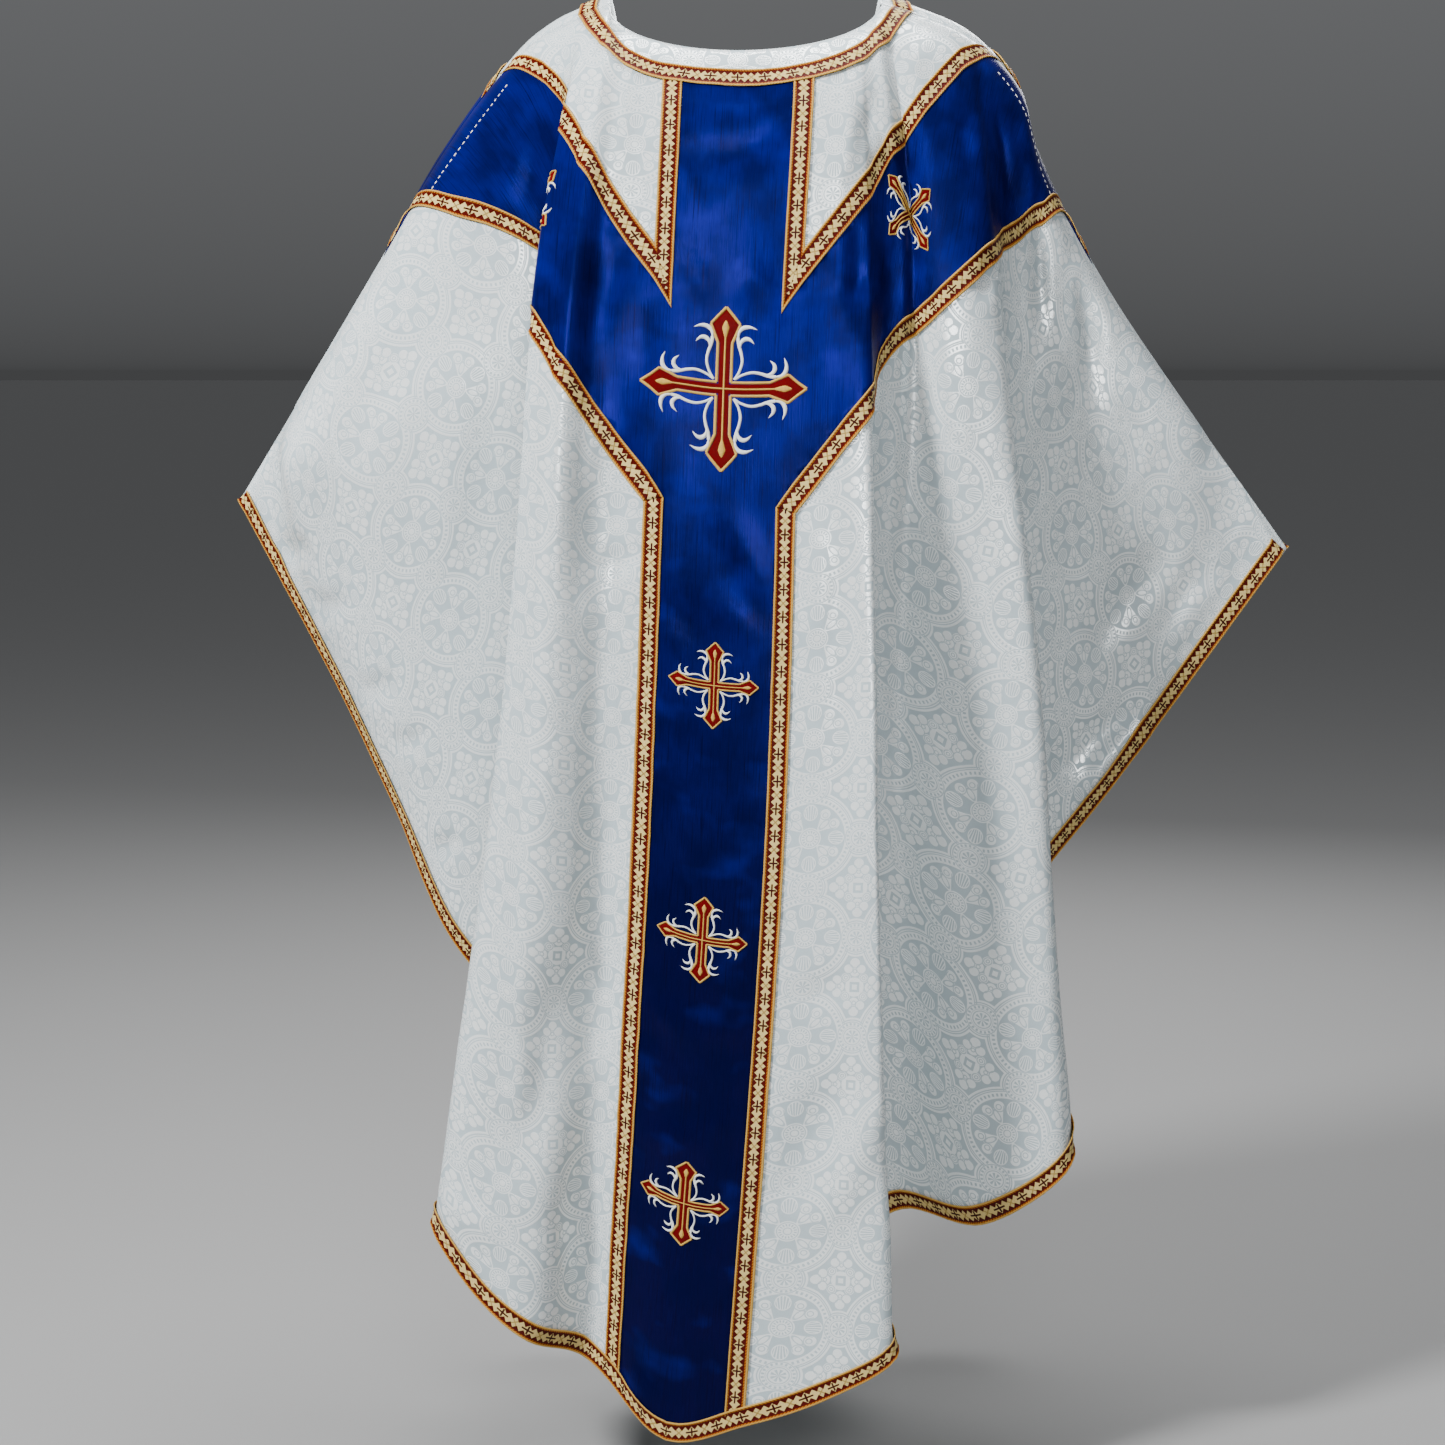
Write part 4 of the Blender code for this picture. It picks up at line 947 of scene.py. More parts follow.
def lay_ribbon(mesh, place, count, section, point_at, map_at, colour=0):
    """A grid laid along a line.  section lists (share across, share of the height);
    point_at and map_at give the flat place and the map for a station and a share."""
    uv = trim_map(mesh)
    made = bmesh.ops.create_grid(mesh, x_segments=count - 1, y_segments=len(section) - 1,
                                 size=1.0)
    spots = {}
    for vert in made["verts"]:
        station = round((vert.co.x + 1) / 2 * (count - 1))
        share, rise = section[round((vert.co.y + 1) / 2 * (len(section) - 1))]
        across, down = point_at(station, share)
        spots[vert] = map_at(station, share)
        vert.co = place(across, down, rise, station)
    for face in {f for v in made["verts"] for f in v.link_faces}:
        face.material_index = colour
        for loop in face.loops:
            loop[uv].uv = spots[loop.vert]


def lengths(line):
    """Distance of each point of a line from its start."""
    return np.concatenate([[0], np.cumsum(np.linalg.norm(np.diff(line, axis=0), axis=1))])


def even_stops(line, count):
    """Evenly spaced points on a line, and their distances from its start."""
    line = np.asarray(line, float)
    run = lengths(line)
    stops = np.linspace(0, run[-1], count)
    return np.stack([np.interp(stops, run, line[:, k]) for k in (0, 1)], axis=1), stops


def pair_sides(blue_side, white_side):
    """Paired points on a galloon's two sides, and how far along it each lies."""
    longest = max(lengths(np.asarray(side, float))[-1] for side in (blue_side, white_side))
    count = math.ceil(longest / STRIP_STEP) + 1
    blue, blue_run = even_stops(blue_side, count)
    white, white_run = even_stops(white_side, count)
    way = (blue[1] - blue[0]) / np.linalg.norm(blue[1] - blue[0])
    return blue, white, blue_run, white_run + (white[0] - blue[0]) @ way


def make_galloon(panel, name, sides, lift, material):
    """One galloon between two paired lines of flat points."""
    side_a, side_b, run_a, run_b = sides

    def point_at(station, share):
        t = (share + 1) / 2
        return side_a[station] * (1 - t) + side_b[station] * t

    def map_at(station, share):
        t = (share + 1) / 2
        return run_a[station] * (1 - t) + run_b[station] * t, share * GALLOON / 2

    def place(across, down, rise, _):
        return panel.find.place(across, down, lift + rise * CORD_RISE)

    strip = bmesh.new()
    lay_ribbon(strip, place, len(side_a), GALLOON_SECTION, point_at, map_at)
    face_out(strip, panel.cut.facing)
    return finish_object(name, strip, [material], GALLOON_CLOTH, inward=True)


def make_galloons(panel, title, material):
    """All galloons of one panel, each under the name of the node it stands for."""
    pattern = panel.pattern
    made = {}
    for name, blue_side, white_side in pattern.strips():
        for word, side in (("left", -1), ("right", 1)):
            sides = pair_sides(mirrored(blue_side, side), mirrored(white_side, side))
            node = f"{title}_{name}_{word}"
            made[node] = make_galloon(panel, f"trim_{node}", sides, GALLOON_LIFT, material)
    inner = pattern.neck_side(pattern.neck_inner)
    outer = pattern.neck_side(pattern.neck_outer)
    run = lengths((inner + outer) / 2)
    run -= run[-1] / 2
    node = f"{title}_galloon_neck"
    made[node] = make_galloon(panel, f"trim_{node}", (inner, outer, run, run),
                              EDGE_GALLOON_LIFT, material)
    run = np.linspace(-EDGE_LENGTH, EDGE_LENGTH, math.ceil(2 * EDGE_LENGTH / STRIP_STEP))
    edge = [edge_flat(s) for s in run]
    inner = np.array([place + inward * GALLOON for place, inward, _ in edge])
    outer = np.array([place for place, _, _ in edge])
    node = f"{title}_galloon_hem"
    made[node] = make_galloon(panel, f"trim_{node}", (inner, outer, run, run),
                              EDGE_GALLOON_LIFT, material)
    return made


# Embroidery: every part of a cross is a raised stroke of satin stitch

# Section of a stroke: place across (-1 to 1) and share of its height
STROKE_SECTION = [(-1.0, 0.0), (-0.8, 0.6), (-0.4, 0.92), (0.0, 1.0), (0.4, 0.92),
                  (0.8, 0.6), (1.0, 0.0)]
RED, GOLD_THREAD, SILVER = 0, 1, 2


def lay_stroke(mesh, place, points, halves, height, colour):
    """One stroke along flat points, each with its half width."""
    points = np.asarray(points, float)
    halves = np.asarray(halves, float)
    ways = np.gradient(points, axis=0)
    ways /= np.linalg.norm(ways, axis=1, keepdims=True) + 1e-12
    run = lengths(points)

    def point_at(station, share):
        aside = np.array([-ways[station][1], ways[station][0]])
        return points[station] + aside * share * halves[station]

    def map_at(station, share):
        return run[station], share * halves[station]

    def raised(across, down, rise, station):
        taper = min(1.0, halves[station] / halves.max() * 1.6)
        return place(across, down, height * rise * taper)

    lay_ribbon(mesh, raised, len(points), STROKE_SECTION, point_at, map_at, colour)


def blend_through(points, count):
    """A smooth line through flat points."""
    points = np.array([(x, y, 0.0) for x, y in points])
    return smooth_path(points, np.linspace(0, len(points) - 1, count))[:, :2]


def head_halves(shares, inset):
    """Half width of a bar at shares of its length, drawn in by the outline's width."""
    stops = [0.0, FLARE_FROM, FLARE_AT, 1.0]
    halves = [BAR_HALF, BAR_HALF, FLARE_HALF, 0.0]
    return np.clip(np.interp(shares, stops, halves) - inset, 0.0004, None)


# One eighth of the silver scrolls, in half sizes of the cross: away from the bar's
# middle, along the bar
SCROLL_STEM = [(0.115, 0.115), (0.172, 0.21), (0.205, 0.33), (0.190, 0.44), (0.158, 0.54),
               (0.145, 0.63)]
SCROLL_LEAVES = [
    [(0.145, 0.62), (0.158, 0.70), (0.205, 0.748), (0.285, 0.758), (0.380, 0.725)],
    [(0.170, 0.50), (0.185, 0.57), (0.230, 0.612), (0.290, 0.607), (0.350, 0.550)],
]
LEAF_HALF = (0.011, 0.017)   # half width at its ends and what its middle adds
CROSS_LINE = {True: 0.0012, False: 0.0007}   # half width of the gold line, by large


def cross_strokes(mesh, place, half):
    """All strokes of a cross whose up and right are the axes of place."""
    line = CROSS_LINE[half > 0.05]
    for c, s in ((1, 0), (0, 1), (-1, 0), (0, -1)):
        def lay(points, halves, height, colour, mirror=1):
            turned = [(x * mirror * c + y * s, y * c - x * mirror * s) for x, y in points]
            lay_stroke(mesh, place, turned, halves, height, colour)

        shares = np.linspace(0.0, 0.97, 22)
        lay([(0.0, half * t) for t in shares], half * head_halves(shares, 0.02), 0.0007, RED)
        outline = [(BAR_HALF, BAR_HALF), (BAR_HALF, FLARE_FROM), (FLARE_HALF, FLARE_AT),
                   (0.0, 1.0)]
        outline = np.array(outline) * half
        t = np.linspace(0, 1, 14)
        for mirror in (1, -1):
            for a, b in zip(outline[:-1], outline[1:]):
                lay(a + (b - a) * t[:, None], [line] * len(t), 0.0011, GOLD_THREAD, mirror)
            stem = blend_through(SCROLL_STEM, 20) * half
            lay(stem, np.linspace(0.85, 1.3, 20) * line, 0.0009, SILVER, mirror)
            for leaf in SCROLL_LEAVES:
                bulge = LEAF_HALF[0] + LEAF_HALF[1] * np.sin(np.pi * t ** 1.2)
                widths = half * bulge * np.sqrt(np.clip(1 - t ** 4, 0.002, 1))
                lay(blend_through(leaf, len(t)) * half, widths, 0.0012, SILVER, mirror)
        lay([(0.0, half * 0.62 * k) for k in t], [line * 0.7] * len(t), 0.0012, GOLD_THREAD)
        drop = np.interp(t, [0, 0.6, 1], [0.004, 0.048, 0.002]) * half
        lay([(0.0, half * (0.58 + 0.28 * k)) for k in t], drop, 0.0016, GOLD_THREAD)


def make_cross(panel, cross, materials):
    c, s = math.cos(cross.turn), math.sin(cross.turn)

    def place(x, y, lift):
        across = cross.across + x * c + y * s
        down = cross.down - (y * c - x * s)
        return panel.find.place(across, down, CROSS_LIFT + lift)

    mesh = bmesh.new()
    cross_strokes(mesh, place, cross.half)
    face_out(mesh, panel.cut.facing)
    return finish_object(f"embroidered_{cross.name}", mesh, materials)


# Running stitch along the shoulder seams, on the blue
STITCH = 0.0032
STITCH_PITCH = 0.0058
STITCH_INSET = 0.0240        # below the seam
STITCH_HALVES = (0.0002, 0.0004, 0.0004, 0.0002)


def make_stitches(panel, material):
    """The white running stitch beside each shoulder seam."""
    mesh = bmesh.new()
    slope = math.tan(SEAM_SLOPE)
    first, last = panel.pattern.upper[-1][0], panel.pattern.lower[-1][0]

    def place(across, down, lift):
        return panel.find.place(across, down, ORPHREY_LIFT + lift)

    for side in (-1, 1):
        for start in np.arange(first + STITCH, last - STITCH, STITCH_PITCH):
            stops = start + np.linspace(0, STITCH, 4) * math.cos(SEAM_SLOPE)
            line = [(side * a, (a - NECK_HALF) * slope + STITCH_INSET) for a in stops]
            lay_stroke(mesh, place, line, STITCH_HALVES, 0.0006, 0)
    face_out(mesh, panel.cut.facing)
    return finish_object("shoulder_stitches", mesh, [material])


# Materials

class Field:
    """A value over the surface.  Arithmetic on it adds Math nodes to its tree."""

    def __init__(self, tree, socket):
        self.tree = tree
        self.socket = socket

    def math(self, operation, *others, clamp=False):
        node = self.tree.nodes.new("ShaderNodeMath")
        node.operation = operation
        node.use_clamp = clamp
        for slot, value in enumerate((self, *others)):
            if isinstance(value, Field):
                self.tree.links.new(value.socket, node.inputs[slot])
            else:
                node.inputs[slot].default_value = value
        return Field(self.tree, node.outputs[0])

    def __add__(self, other):
        return self.math("ADD", other)

    def __sub__(self, other):
        return self.math("SUBTRACT", other)

    def __mul__(self, other):
        return self.math("MULTIPLY", other)

    def __truediv__(self, other):
        return self.math("DIVIDE", other)

    def __rsub__(self, other):
        return self.math("MULTIPLY", -1.0).math("ADD", other)

    __radd__ = __add__
    __rmul__ = __mul__

    def abs(self):
        return self.math("ABSOLUTE")

    def least(self, other):
        return self.math("MINIMUM", other)

    def most(self, other):
        return self.math("MAXIMUM", other)

    def below(self, limit, soft):
        """1 where the value is under the limit, 0 above it, soft at the border."""
        return ((limit - self) / soft + 0.5).math("ADD", 0.0, clamp=True)

    def line(self, half, soft):
        """1 where the value is within half of zero."""
        return self.abs().below(half, soft)

    def wave(self, turns):
        """Cosine of the value times turns."""
        return (self * turns).math("COSINE")


def length_of(x, y):
    return (x * x + y * y).math("SQRT")


def all_of(*fields):
    result = fields[0]
    for field in fields[1:]:
        result = result * field
    return result


def any_of(*fields):
    result = fields[0]
    for field in fields[1:]:
        result = result.most(field)
    return result


def new_group(name, inputs, outputs):
    """A shader node group; inputs and outputs are pairs of name and socket kind."""
    tree = bpy.data.node_groups.new(name, "ShaderNodeTree")
    for title, kind in inputs:
        tree.interface.new_socket(title, in_out="INPUT", socket_type=kind)
    for title, kind in outputs:
        tree.interface.new_socket(title, in_out="OUTPUT", socket_type=kind)
    start = tree.nodes.new("NodeGroupInput")
    end = tree.nodes.new("NodeGroupOutput")
    return tree, start, end


def split(tree, socket):
    """The first two parts of a vector."""
    node = tree.nodes.new("ShaderNodeSeparateXYZ")
    tree.links.new(socket, node.inputs[0])
    return Field(tree, node.outputs[0]), Field(tree, node.outputs[1])


def noise_field(tree, vector, scale, detail=2.0):
    """Noise over a vector; scale stretches each axis."""
    mapping = tree.nodes.new("ShaderNodeMapping")
    mapping.inputs["Scale"].default_value = scale
    tree.links.new(vector, mapping.inputs["Vector"])
    node = tree.nodes.new("ShaderNodeTexNoise")
    node.inputs["Scale"].default_value = 1.0
    node.inputs["Detail"].default_value = detail
    tree.links.new(mapping.outputs[0], node.inputs["Vector"])
    return Field(tree, node.outputs["Fac"])


REPEAT = 0.0874              # one repeat of the damask
SHARP = 0.0005               # softness of a woven edge


def fold_to_cell(value):
    """Distance from the middle of its repeat, 0 to half a repeat."""
    cell = (value / REPEAT + 0.5).math("FRACT")
    return ((cell - 0.5) * REPEAT).abs()


def damask_group():
    """Figure of the damask: medallions in beaded rings that meet at roundels, and a
    floral cross in each gap.  Figure is 1 on satin; Line is 1 on its drawn lines."""
    tree, start, end = new_group("damask figure", [("Cut", "NodeSocketVector")],
                                 [("Figure", "NodeSocketFloat"), ("Line", "NodeSocketFloat")])
    across, down = split(tree, start.outputs[0])
    x, y = fold_to_cell(across), fold_to_cell(down)
    far, near = x.most(y), x.least(y)
    radius = length_of(far, near)
    turn = near.math("ARCTAN2", far)

    def ring(distance, at, half=0.0004):
        return (distance - at).line(half, SHARP)

    def disc(distance, limit):
        return distance.below(limit, SHARP)

    # Medallion
    inside_ring = disc(radius, 0.0300)
    band = all_of(disc(radius, 0.0368), disc(0.0 - radius, -0.0300))
    beads = all_of((radius - 0.0334).line(0.0013, SHARP), turn.wave(56).below(-0.1, 0.5))
    petal_along = (far + near) * math.sqrt(0.5)
    petal_aside = (far - near) * math.sqrt(0.5)
    lobe = length_of(petal_along - 0.0232, petal_aside - 0.0058)
    curl = length_of(petal_along - 0.0226, petal_aside - 0.0050)
    flank = petal_aside - (petal_along * 0.62 - 0.0042)
    wedge = all_of(flank.below(0.0, SHARP), (petal_along - 0.0155).line(0.0075, SHARP))
    petal = any_of(disc(lobe, 0.0048), wedge)
    leaf = length_of((petal_along - 0.0165) * 0.42, petal_aside)
    heart = all_of(ring(leaf, 0.0022), inside_ring)
    palm = length_of((far - 0.0225) * 0.85, near)
    palm_fan = all_of(disc(palm, 0.0052), turn.wave(70).below(0.2, 0.6))
    core = any_of(ring(radius, 0.0030), ring(radius, 0.0078),
                  all_of((radius - 0.0056).line(0.0011, SHARP), turn.wave(16).below(0.0, 0.4)))
    flower = any_of(petal, disc(palm, 0.0060), disc(radius, 0.0092))
    flower_lines = any_of(all_of(ring(lobe, 0.0048), flank.below(0.0060, SHARP)),
                          ring(curl, 0.0022), heart, core, palm_fan,
                          all_of(ring(flank, 0.0), (petal_along - 0.0155).line(0.0065, SHARP)))

    # Roundels where two rings meet
    knot = length_of(REPEAT / 2 - far, near)
    knot_turn = near.math("ARCTAN2", REPEAT / 2 - far)
    on_knot = disc(knot, 0.0132)
    knot_lines = any_of(ring(knot, 0.0074), ring(knot, 0.0128), ring(knot, 0.0090, 0.0002),
                        all_of((knot - 0.0109).line(0.0011, SHARP),
                               knot_turn.wave(20).below(0.0, 0.5)),
                        all_of(disc(knot, 0.0056), knot_turn.wave(8).below(0.1, 0.5)))

    # Floral cross in each gap
    gap_far, gap_near = REPEAT / 2 - near, REPEAT / 2 - far
    gap = length_of(gap_far, gap_near)
    bud = length_of(gap_far - 0.0215, gap_near)
    side_bud = length_of(gap_far - 0.0160, gap_near - 0.0058)
    back_bud = length_of(gap_far - 0.0140, gap_near)
    scroll = length_of(gap_far - 0.0082, gap_near - 0.0078)
    blossom = any_of(disc(bud, 0.0046), disc(side_bud, 0.0042), disc(back_bud, 0.0046),
                     disc(scroll, 0.0040), disc(gap, 0.0085))
    blossom_lines = any_of(ring(bud, 0.0046), ring(side_bud, 0.0042), ring(scroll, 0.0030),
                           ring(back_bud, 0.0016), ring(scroll, 0.0012),
                           all_of(disc(gap, 0.0062),
                                  (gap_far * 1400.0).math("SINE").below(0.0, 0.5)))

    # Contour that follows the rings from outside
    outside = all_of(disc(0.0 - radius, -0.0368), disc(0.0 - knot, -0.0132))
    contour = all_of(outside, any_of(ring(radius, 0.0382, 0.0005), ring(knot, 0.0146, 0.0005)))
    contour_satin = all_of(outside, any_of(disc(radius, 0.0405), disc(knot, 0.0168)))

    off_knot = 1.0 - on_knot
    ring_lines = any_of(ring(radius, 0.0300), ring(radius, 0.0366), all_of(band, beads))
    figure = any_of(on_knot, all_of(off_knot, any_of(band, all_of(inside_ring, flower))),
                    contour_satin, all_of(outside, blossom))
    lines = any_of(all_of(on_knot, knot_lines),
                   all_of(off_knot, any_of(ring_lines, all_of(inside_ring, flower_lines))),
                   contour, all_of(outside, blossom_lines))
    tree.links.new(figure.socket, end.inputs["Figure"])
    tree.links.new(lines.socket, end.inputs["Line"])
    return tree


def weave_group():
    """Fine threads of a cloth: a height that crosses over and under."""
    tree, start, end = new_group("weave", [("Cut", "NodeSocketVector"),
                                           ("Threads", "NodeSocketFloat")],
                                 [("Height", "NodeSocketFloat")])
    across, down = split(tree, start.outputs[0])
    threads = Field(tree, start.outputs["Threads"])
    warp = (across * threads * math.tau).math("SINE")
    weft = (down * threads * math.tau).math("SINE")
    height = warp * weft * 0.5 + 0.5
    tree.links.new(height.socket, end.inputs[0])
    return tree


def new_material(name, map_name):
    """An empty material, its shader, and its pattern map."""
    material = bpy.data.materials.new(name)
    material.use_nodes = True
    tree = material.node_tree
    shader = tree.nodes["Principled BSDF"]
    uv = tree.nodes.new("ShaderNodeUVMap")
    uv.uv_map = map_name
    return material, tree, shader, uv.outputs[0]


def use_group(tree, group, **inputs):
    node = tree.nodes.new("ShaderNodeGroup")
    node.node_tree = group
    for name, value in inputs.items():
        if isinstance(value, (int, float)):
            node.inputs[name].default_value = value
        else:
            tree.links.new(value, node.inputs[name])
    return node


def mix(tree, factor, first, second):
    """Blend of two colours, or of two colour sockets."""
    node = tree.nodes.new("ShaderNodeMix")
    node.data_type = "RGBA"
    tree.links.new(factor.socket, node.inputs["Factor"])
    for slot, value in ((6, first), (7, second)):
        if isinstance(value, tuple):
            node.inputs[slot].default_value = (*value, 1.0)
        else:
            tree.links.new(value, node.inputs[slot])
    return node.outputs[2]


def ramp(factor, low, high):
    """A value that runs from low to high as the factor runs from 0 to 1."""
    return factor * (high - low) + low


def bump(tree, shader, height, distance):
    node = tree.nodes.new("ShaderNodeBump")
    node.inputs["Distance"].default_value = distance
    tree.links.new(height.socket, node.inputs["Height"])
    tree.links.new(node.outputs[0], shader.inputs["Normal"])


# Colours: a pair runs from the darker to the lighter end of its threads
WHITES = ((0.38, 0.47, 0.51), (0.92, 0.96, 0.96))      # matt ground, satin figure
WHITE_THREAD_SHADE = (0.62, 0.72, 0.76)
WHITE_CLOUD = (0.90, 0.93, 0.90)
UPPER_BLUES = ((0.002, 0.002, 0.075), (0.004, 0.006, 0.190))
# painted shade: the blue of the lower column, darkened where less light reaches it
SHADED_LOWER_BLUES = ((0.001, 0.001, 0.018), (0.003, 0.002, 0.060))
# painted sheen: brighter blue for the scattered sheen spots
BLUE_LIT = (0.010, 0.012, 0.300)
# painted shade: dark patches where the satin's sheen turns away
BLUE_PAINTED_SHADE = (0.0, 0.001, 0.034)
BLUE_SLUB = (0.001, 0.001, 0.016)
TRIM_IVORIES = ((0.40, 0.26, 0.07), (0.76, 0.62, 0.27))
TRIM_FLOWER = (0.24, 0.14, 0.02)
TRIM_RED = (0.060, 0.002, 0.001)
TRIM_CROSS = (0.030, 0.001, 0.001)
TRIM_GOLDS = ((0.18, 0.030, 0.004), (0.50, 0.17, 0.015))
TRIM_RIM = (0.60, 0.36, 0.08)

# Embroidery threads: dark and light, metallic, roughness
Thread = namedtuple("Thread", "name low high metallic roughness")
THREADS = [
    Thread("red thread", (0.055, 0.0005, 0.001), (0.150, 0.002, 0.004), 0.0, 0.60),
    Thread("gold thread", (0.40, 0.20, 0.02), (0.80, 0.55, 0.14), 0.25, 0.42),
    Thread("silver thread", (0.60, 0.62, 0.60), (0.90, 0.92, 0.90), 0.15, 0.34),
]
WHITE_STITCH = Thread("white thread", (0.75, 0.75, 0.72), (0.92, 0.92, 0.90), 0.0, 0.5)


def damask_material(figure_group, weave):
    material, tree, shader, cut = new_material("white damask", "cut")
    drawn = use_group(tree, figure_group, Cut=cut)
    figure = Field(tree, drawn.outputs["Figure"])
    lines = Field(tree, drawn.outputs["Line"])
    satin = figure * (1.0 - lines)
    cloudy = noise_field(tree, cut, (9.0, 5.0, 1.0), 3.0)
    threads = noise_field(tree, cut, (1500.0, 160.0, 1.0), 1.0)
    base = mix(tree, satin, *WHITES)
    tinted = mix(tree, threads * 0.22, base, WHITE_THREAD_SHADE)
    tree.links.new(mix(tree, cloudy * 0.10, tinted, WHITE_CLOUD),
                   shader.inputs["Base Color"])
    roughness = ramp(satin, 0.50, 0.30) + threads * 0.06
    tree.links.new(roughness.socket, shader.inputs["Roughness"])
    tree.links.new(ramp(satin, 0.12, 0.34).socket, shader.inputs["Metallic"])
    shader.inputs["Specular IOR Level"].default_value = 0.55
    fine = Field(tree, use_group(tree, weave, Cut=cut, Threads=900.0).outputs[0])
    bump(tree, shader, satin * 0.7 + fine * 0.12 + threads * 0.35, 0.00012)
    return material


def satin_material():
    """Royal blue satin with slubs down the cloth; painted shade darkens it down the column and in
    soft patches, and painted sheen adds lighter spots.
    """
    material, tree, shader, cut = new_material("blue slub satin", "cut")
    slubs = noise_field(tree, cut, (950.0, 16.0, 1.0), 2.0)
    fine = noise_field(tree, cut, (2600.0, 60.0, 1.0), 1.0)
    dark = (slubs - 0.56).math("MULTIPLY", 6.0, clamp=True)
    _, down = split(tree, cut)
    # painted shade: soft dark patches over the blue
    patches = (noise_field(tree, cut, (26.0, 19.0, 1.0), 3.0) - 0.42).math(
        "MULTIPLY", 5.0, clamp=True)
    # painted shade: the blue gets darker towards the bottom of the cloth
    lower = (down.abs() - 0.40).math("MULTIPLY", 2.0, clamp=True)
    upper_blue = mix(tree, fine, *UPPER_BLUES)
    painted_shade_blue = mix(tree, fine, *SHADED_LOWER_BLUES)
    base = mix(tree, lower, upper_blue, painted_shade_blue)
    # painted sheen: scattered spots of brighter blue
    painted_sheen_spots = (noise_field(tree, cut, (17.0, 24.0, 3.0), 2.0) - 0.55).math(
        "MULTIPLY", 6.0, clamp=True)
    lit = mix(tree, painted_sheen_spots * 0.30, base, BLUE_LIT)
    shaded = mix(tree, patches * 0.60, lit, BLUE_PAINTED_SHADE)
    tree.links.new(mix(tree, dark * 0.7, shaded, BLUE_SLUB),
                   shader.inputs["Base Color"])
    tree.links.new(ramp(fine, 0.30, 0.42).socket, shader.inputs["Roughness"])
    shader.inputs["Specular IOR Level"].default_value = 0.10
    shader.inputs["Metallic"].default_value = 0.45
    bump(tree, shader, slubs * 0.8 + fine * 0.4, 0.00018)
    return material


TRIM_REPEAT = 0.0240         # one cross and one flower of the galloon


def galloon_material():
    """Woven trim: gold cords, dark red ground, an ivory and gold figure."""
    material, tree, shader, trim = new_material("woven galloon", "trim")
    along, aside = split(tree, trim)
    aside = aside.abs()
    cell = (along / TRIM_REPEAT).math("FRACT")
    from_cross = ((cell - 0.5).abs() * -1.0 + 0.5) * TRIM_REPEAT
    from_flower = (cell - 0.5).abs() * TRIM_REPEAT
    lobe = ((along / TRIM_REPEAT * 4.0).math("FRACT") - 0.5).abs() * 2.0
    ivory = (aside - ramp(lobe, 0.0016, 0.0050)).below(0.0, 0.0003)
    cross_long = all_of(aside.below(0.0008, 0.0003), from_cross.below(0.0056, 0.0005))
    cross_short = all_of(from_cross.below(0.0008, 0.0003), aside.below(0.0040, 0.0004))
    flower = (aside - from_flower).abs().below(0.0007, 0.0006)
    gold_bits = all_of(flower, from_flower.below(0.0052, 0.0006))
    cord = aside.below(0.0062, 0.0003)
    rim = (0.0 - aside).below(-0.0074, 0.0006)
    twist = ((along + aside * 0.9) * 2400.0).math("SINE") * 0.5 + 0.5
    threads = noise_field(tree, trim, (700.0, 2600.0, 1.0), 1.0)
    thread_mix = mix(tree, threads, *TRIM_IVORIES)
    ivory_colour = mix(tree, gold_bits * 0.7, thread_mix, TRIM_FLOWER)
    ground = mix(tree, ivory, TRIM_RED, ivory_colour)
    crossed = mix(tree, any_of(cross_long, cross_short), ground, TRIM_CROSS)
    gold = mix(tree, twist, *TRIM_GOLDS)
    cord_colour = mix(tree, rim, gold, TRIM_RIM)
    tree.links.new(mix(tree, cord, cord_colour, crossed), shader.inputs["Base Color"])
    metal = any_of(1.0 - cord, all_of(cord, gold_bits)) * 0.35
    tree.links.new(metal.socket, shader.inputs["Metallic"])
    tree.links.new(ramp(threads, 0.42, 0.60).socket, shader.inputs["Roughness"])
    shader.inputs["Specular IOR Level"].default_value = 0.15
    fine = (along * 7000.0).math("SINE") * 0.2
    height = ivory * cord * 0.6 + twist * (1.0 - cord) + threads * 0.4 + fine
    bump(tree, shader, height, 0.00025)
    return material


def thread_material(thread):
    """Satin stitch: fine threads across each stroke."""
    material, tree, shader, trim = new_material(thread.name, "trim")
    along, aside = split(tree, trim)
    stitches = ((along + aside * 0.35) * 9000.0).math("SINE") * 0.5 + 0.5
    patches = noise_field(tree, trim, (500.0, 120.0, 1.0), 2.0)
    tree.links.new(mix(tree, stitches * 0.5 + patches * 0.5, thread.low, thread.high),
                   shader.inputs["Base Color"])
    roughness = ramp(patches, thread.roughness, thread.roughness + 0.12)
    tree.links.new(roughness.socket, shader.inputs["Roughness"])
    shader.inputs["Metallic"].default_value = thread.metallic
    shader.inputs["Specular IOR Level"].default_value = 0.12
    bump(tree, shader, stitches, 0.00012)
    return material


def plain_material(name, colour, roughness):
    material = bpy.data.materials.new(name)
    material.use_nodes = True
    shader = material.node_tree.nodes["Principled BSDF"]
    shader.inputs["Base Color"].default_value = (*colour, 1.0)
    shader.inputs["Roughness"].default_value = roughness
    return material


# Stage

FLOOR_BELOW = 0.05           # how far under the hem the floor lies
FLOOR_REACH = 300.0
FLOOR_GREY = 0.26
SKY = (0.062, 0.22)          # light of the room at the horizon, and what it gains overhead
SKY_COLOUR = (0.95, 0.97, 1.0, 1.0)

# Lamps: where and at what they point, how wide, watts, and whether they show as a shine
Lamp = namedtuple("Lamp", "name place aim size power shines")
LAMPS = [
    Lamp("key", (-2.2, -1.7, 1.6), (0, 0, -0.6), 0.6, 275, False),
    Lamp("fill", (0.3, -3.0, 0.5), (0, 0, -0.7), 0.9, 40, True),
    Lamp("top", (0.2, 0.2, 1.7), (0, 0, -0.4), 1.2, 45, True),
    Lamp("behind", (0.6, 2.6, 0.9), (0, 0, -0.6), 1.6, 60, True),
]


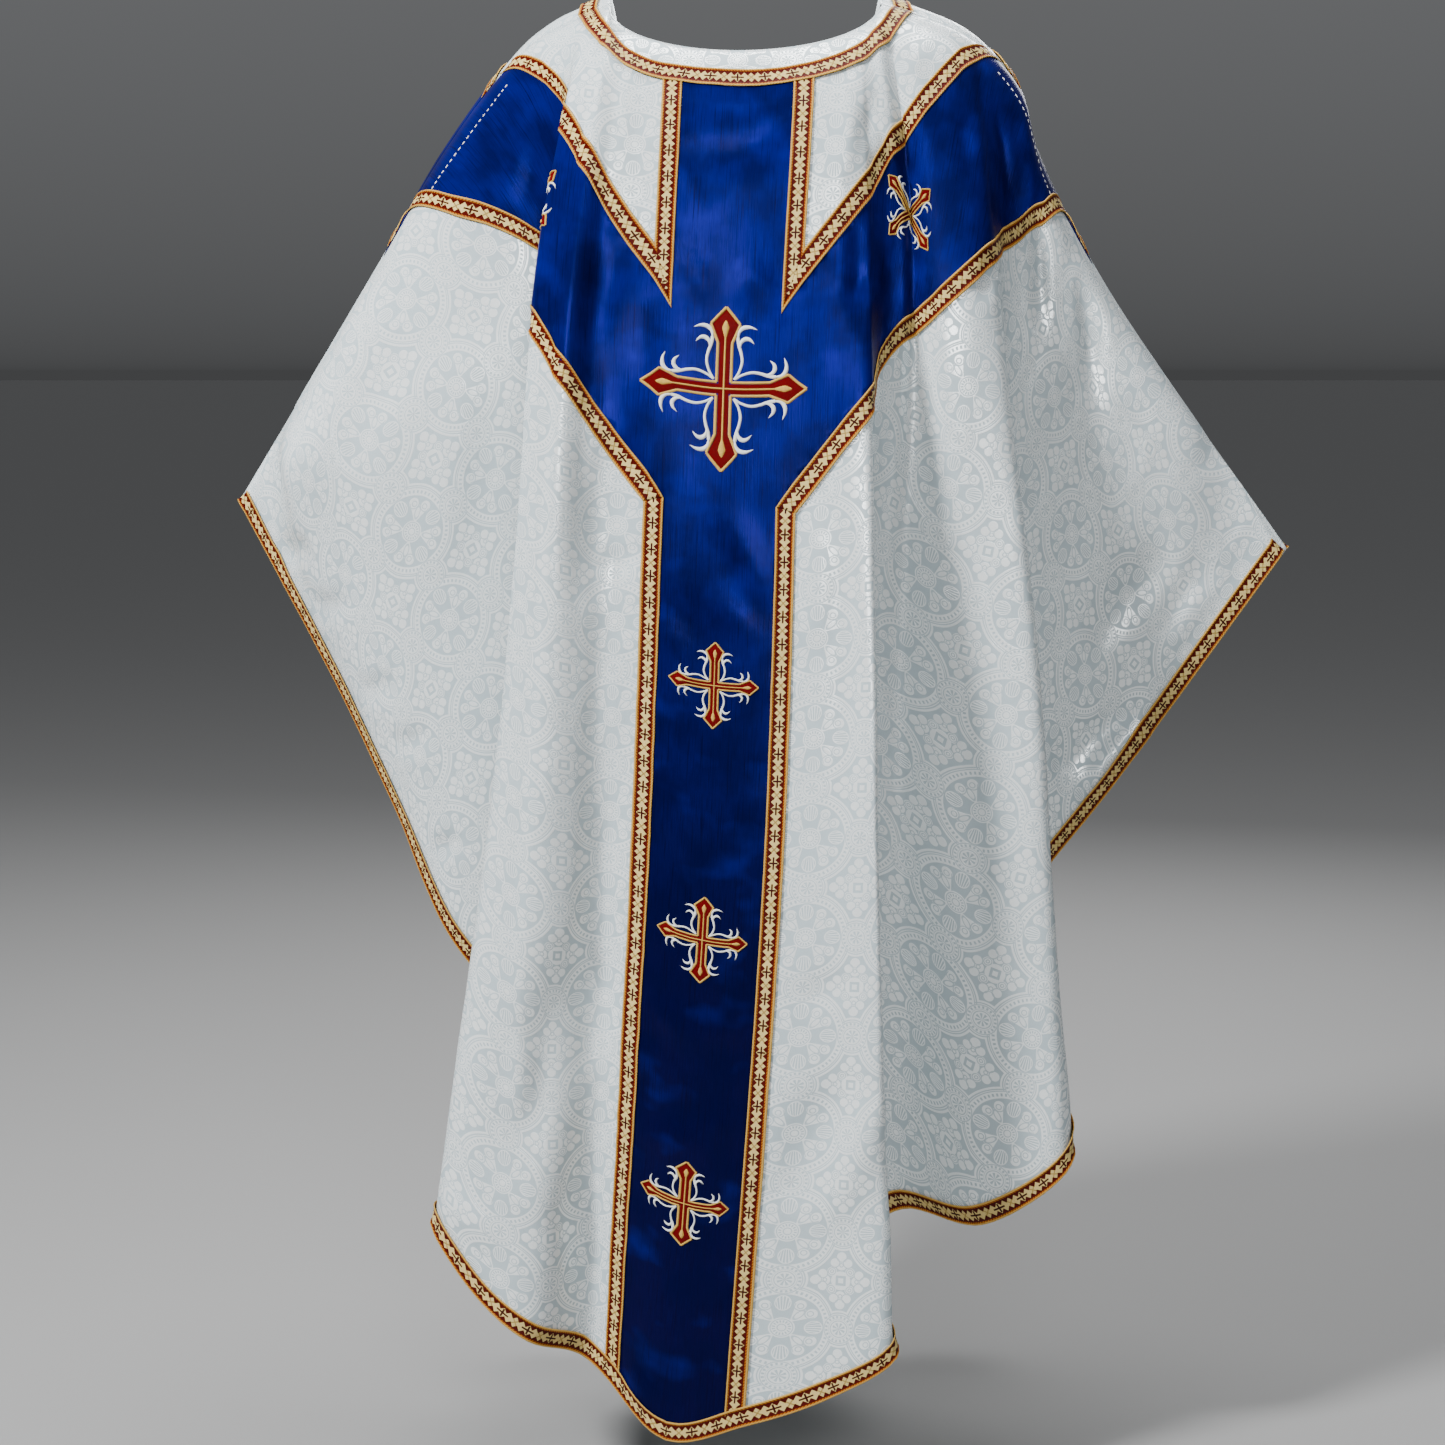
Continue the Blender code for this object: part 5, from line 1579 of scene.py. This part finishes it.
def make_camera():
    data = bpy.data.cameras.new("camera")
    data.lens = LENS
    data.sensor_width = SENSOR
    camera = bpy.data.objects.new("camera", data)
    camera.location = CAMERA_AT
    camera.rotation_euler = (CAMERA_AIM - CAMERA_AT).to_track_quat("-Z", "Y").to_euler()
    bpy.context.scene.collection.objects.link(camera)
    bpy.context.scene.camera = camera


def make_light(lamp):
    data = bpy.data.lights.new(lamp.name, "AREA")
    data.shape = "DISK"
    data.size = lamp.size
    data.energy = lamp.power
    light = bpy.data.objects.new(lamp.name, data)
    light.location = lamp.place
    way = Vector(lamp.aim) - Vector(lamp.place)
    light.rotation_euler = way.to_track_quat("-Z", "Y").to_euler()
    light.visible_glossy = lamp.shines
    bpy.context.scene.collection.objects.link(light)


def make_stage():
    mesh = bmesh.new()
    bmesh.ops.create_grid(mesh, x_segments=1, y_segments=1, size=FLOOR_REACH)
    data = bpy.data.meshes.new("floor")
    mesh.to_mesh(data)
    mesh.free()
    data.materials.append(plain_material("pale floor", (FLOOR_GREY,) * 3, 0.9))
    floor = bpy.data.objects.new("floor", data)
    floor.location = (0, 0, CAD_BOX[0][2] - FLOOR_BELOW)
    bpy.context.scene.collection.objects.link(floor)
    world = bpy.data.worlds.new("studio")
    world.use_nodes = True
    tree = world.node_tree
    room = tree.nodes["Background"]
    room.inputs["Color"].default_value = SKY_COLOUR
    way = tree.nodes.new("ShaderNodeSeparateXYZ")
    tree.links.new(tree.nodes.new("ShaderNodeTexCoord").outputs["Generated"], way.inputs[0])
    height = Field(tree, way.outputs[2]).math("MAXIMUM", 0.0).math("POWER", 0.5)
    tree.links.new((height * SKY[1] + SKY[0]).socket, room.inputs["Strength"])
    bpy.context.scene.world = world
    for lamp in LAMPS:
        make_light(lamp)


# Build


def main():
    make_camera()
    make_stage()
    damask = damask_material(damask_group(), weave_group())
    blue = satin_material()
    trim = galloon_material()
    threads = [thread_material(thread) for thread in THREADS]
    white = thread_material(WHITE_STITCH)
    panels = [("back", Panel(BACK, all_creases(BACK_SOFT, BACK_STRONG), 1.7)),
              ("front", Panel(FRONT, all_creases(FRONT_SOFT, FRONT_STRONG), 8.2))]
    for title, panel in panels:
        cloth = make_cloth(panel, title, damask)
        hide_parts(f"{title}_panel")
        orphrey = make_orphrey(panel, title, blue)
        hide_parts(f"{title}_orphrey")
        for node, galloon in make_galloons(panel, title, trim).items():
            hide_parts(node)
        if title == "back":
            for cross in CROSSES:
                patch = make_cross(panel, cross, threads)
                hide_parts(cross.name)
            make_stitches(panel, white)


main()
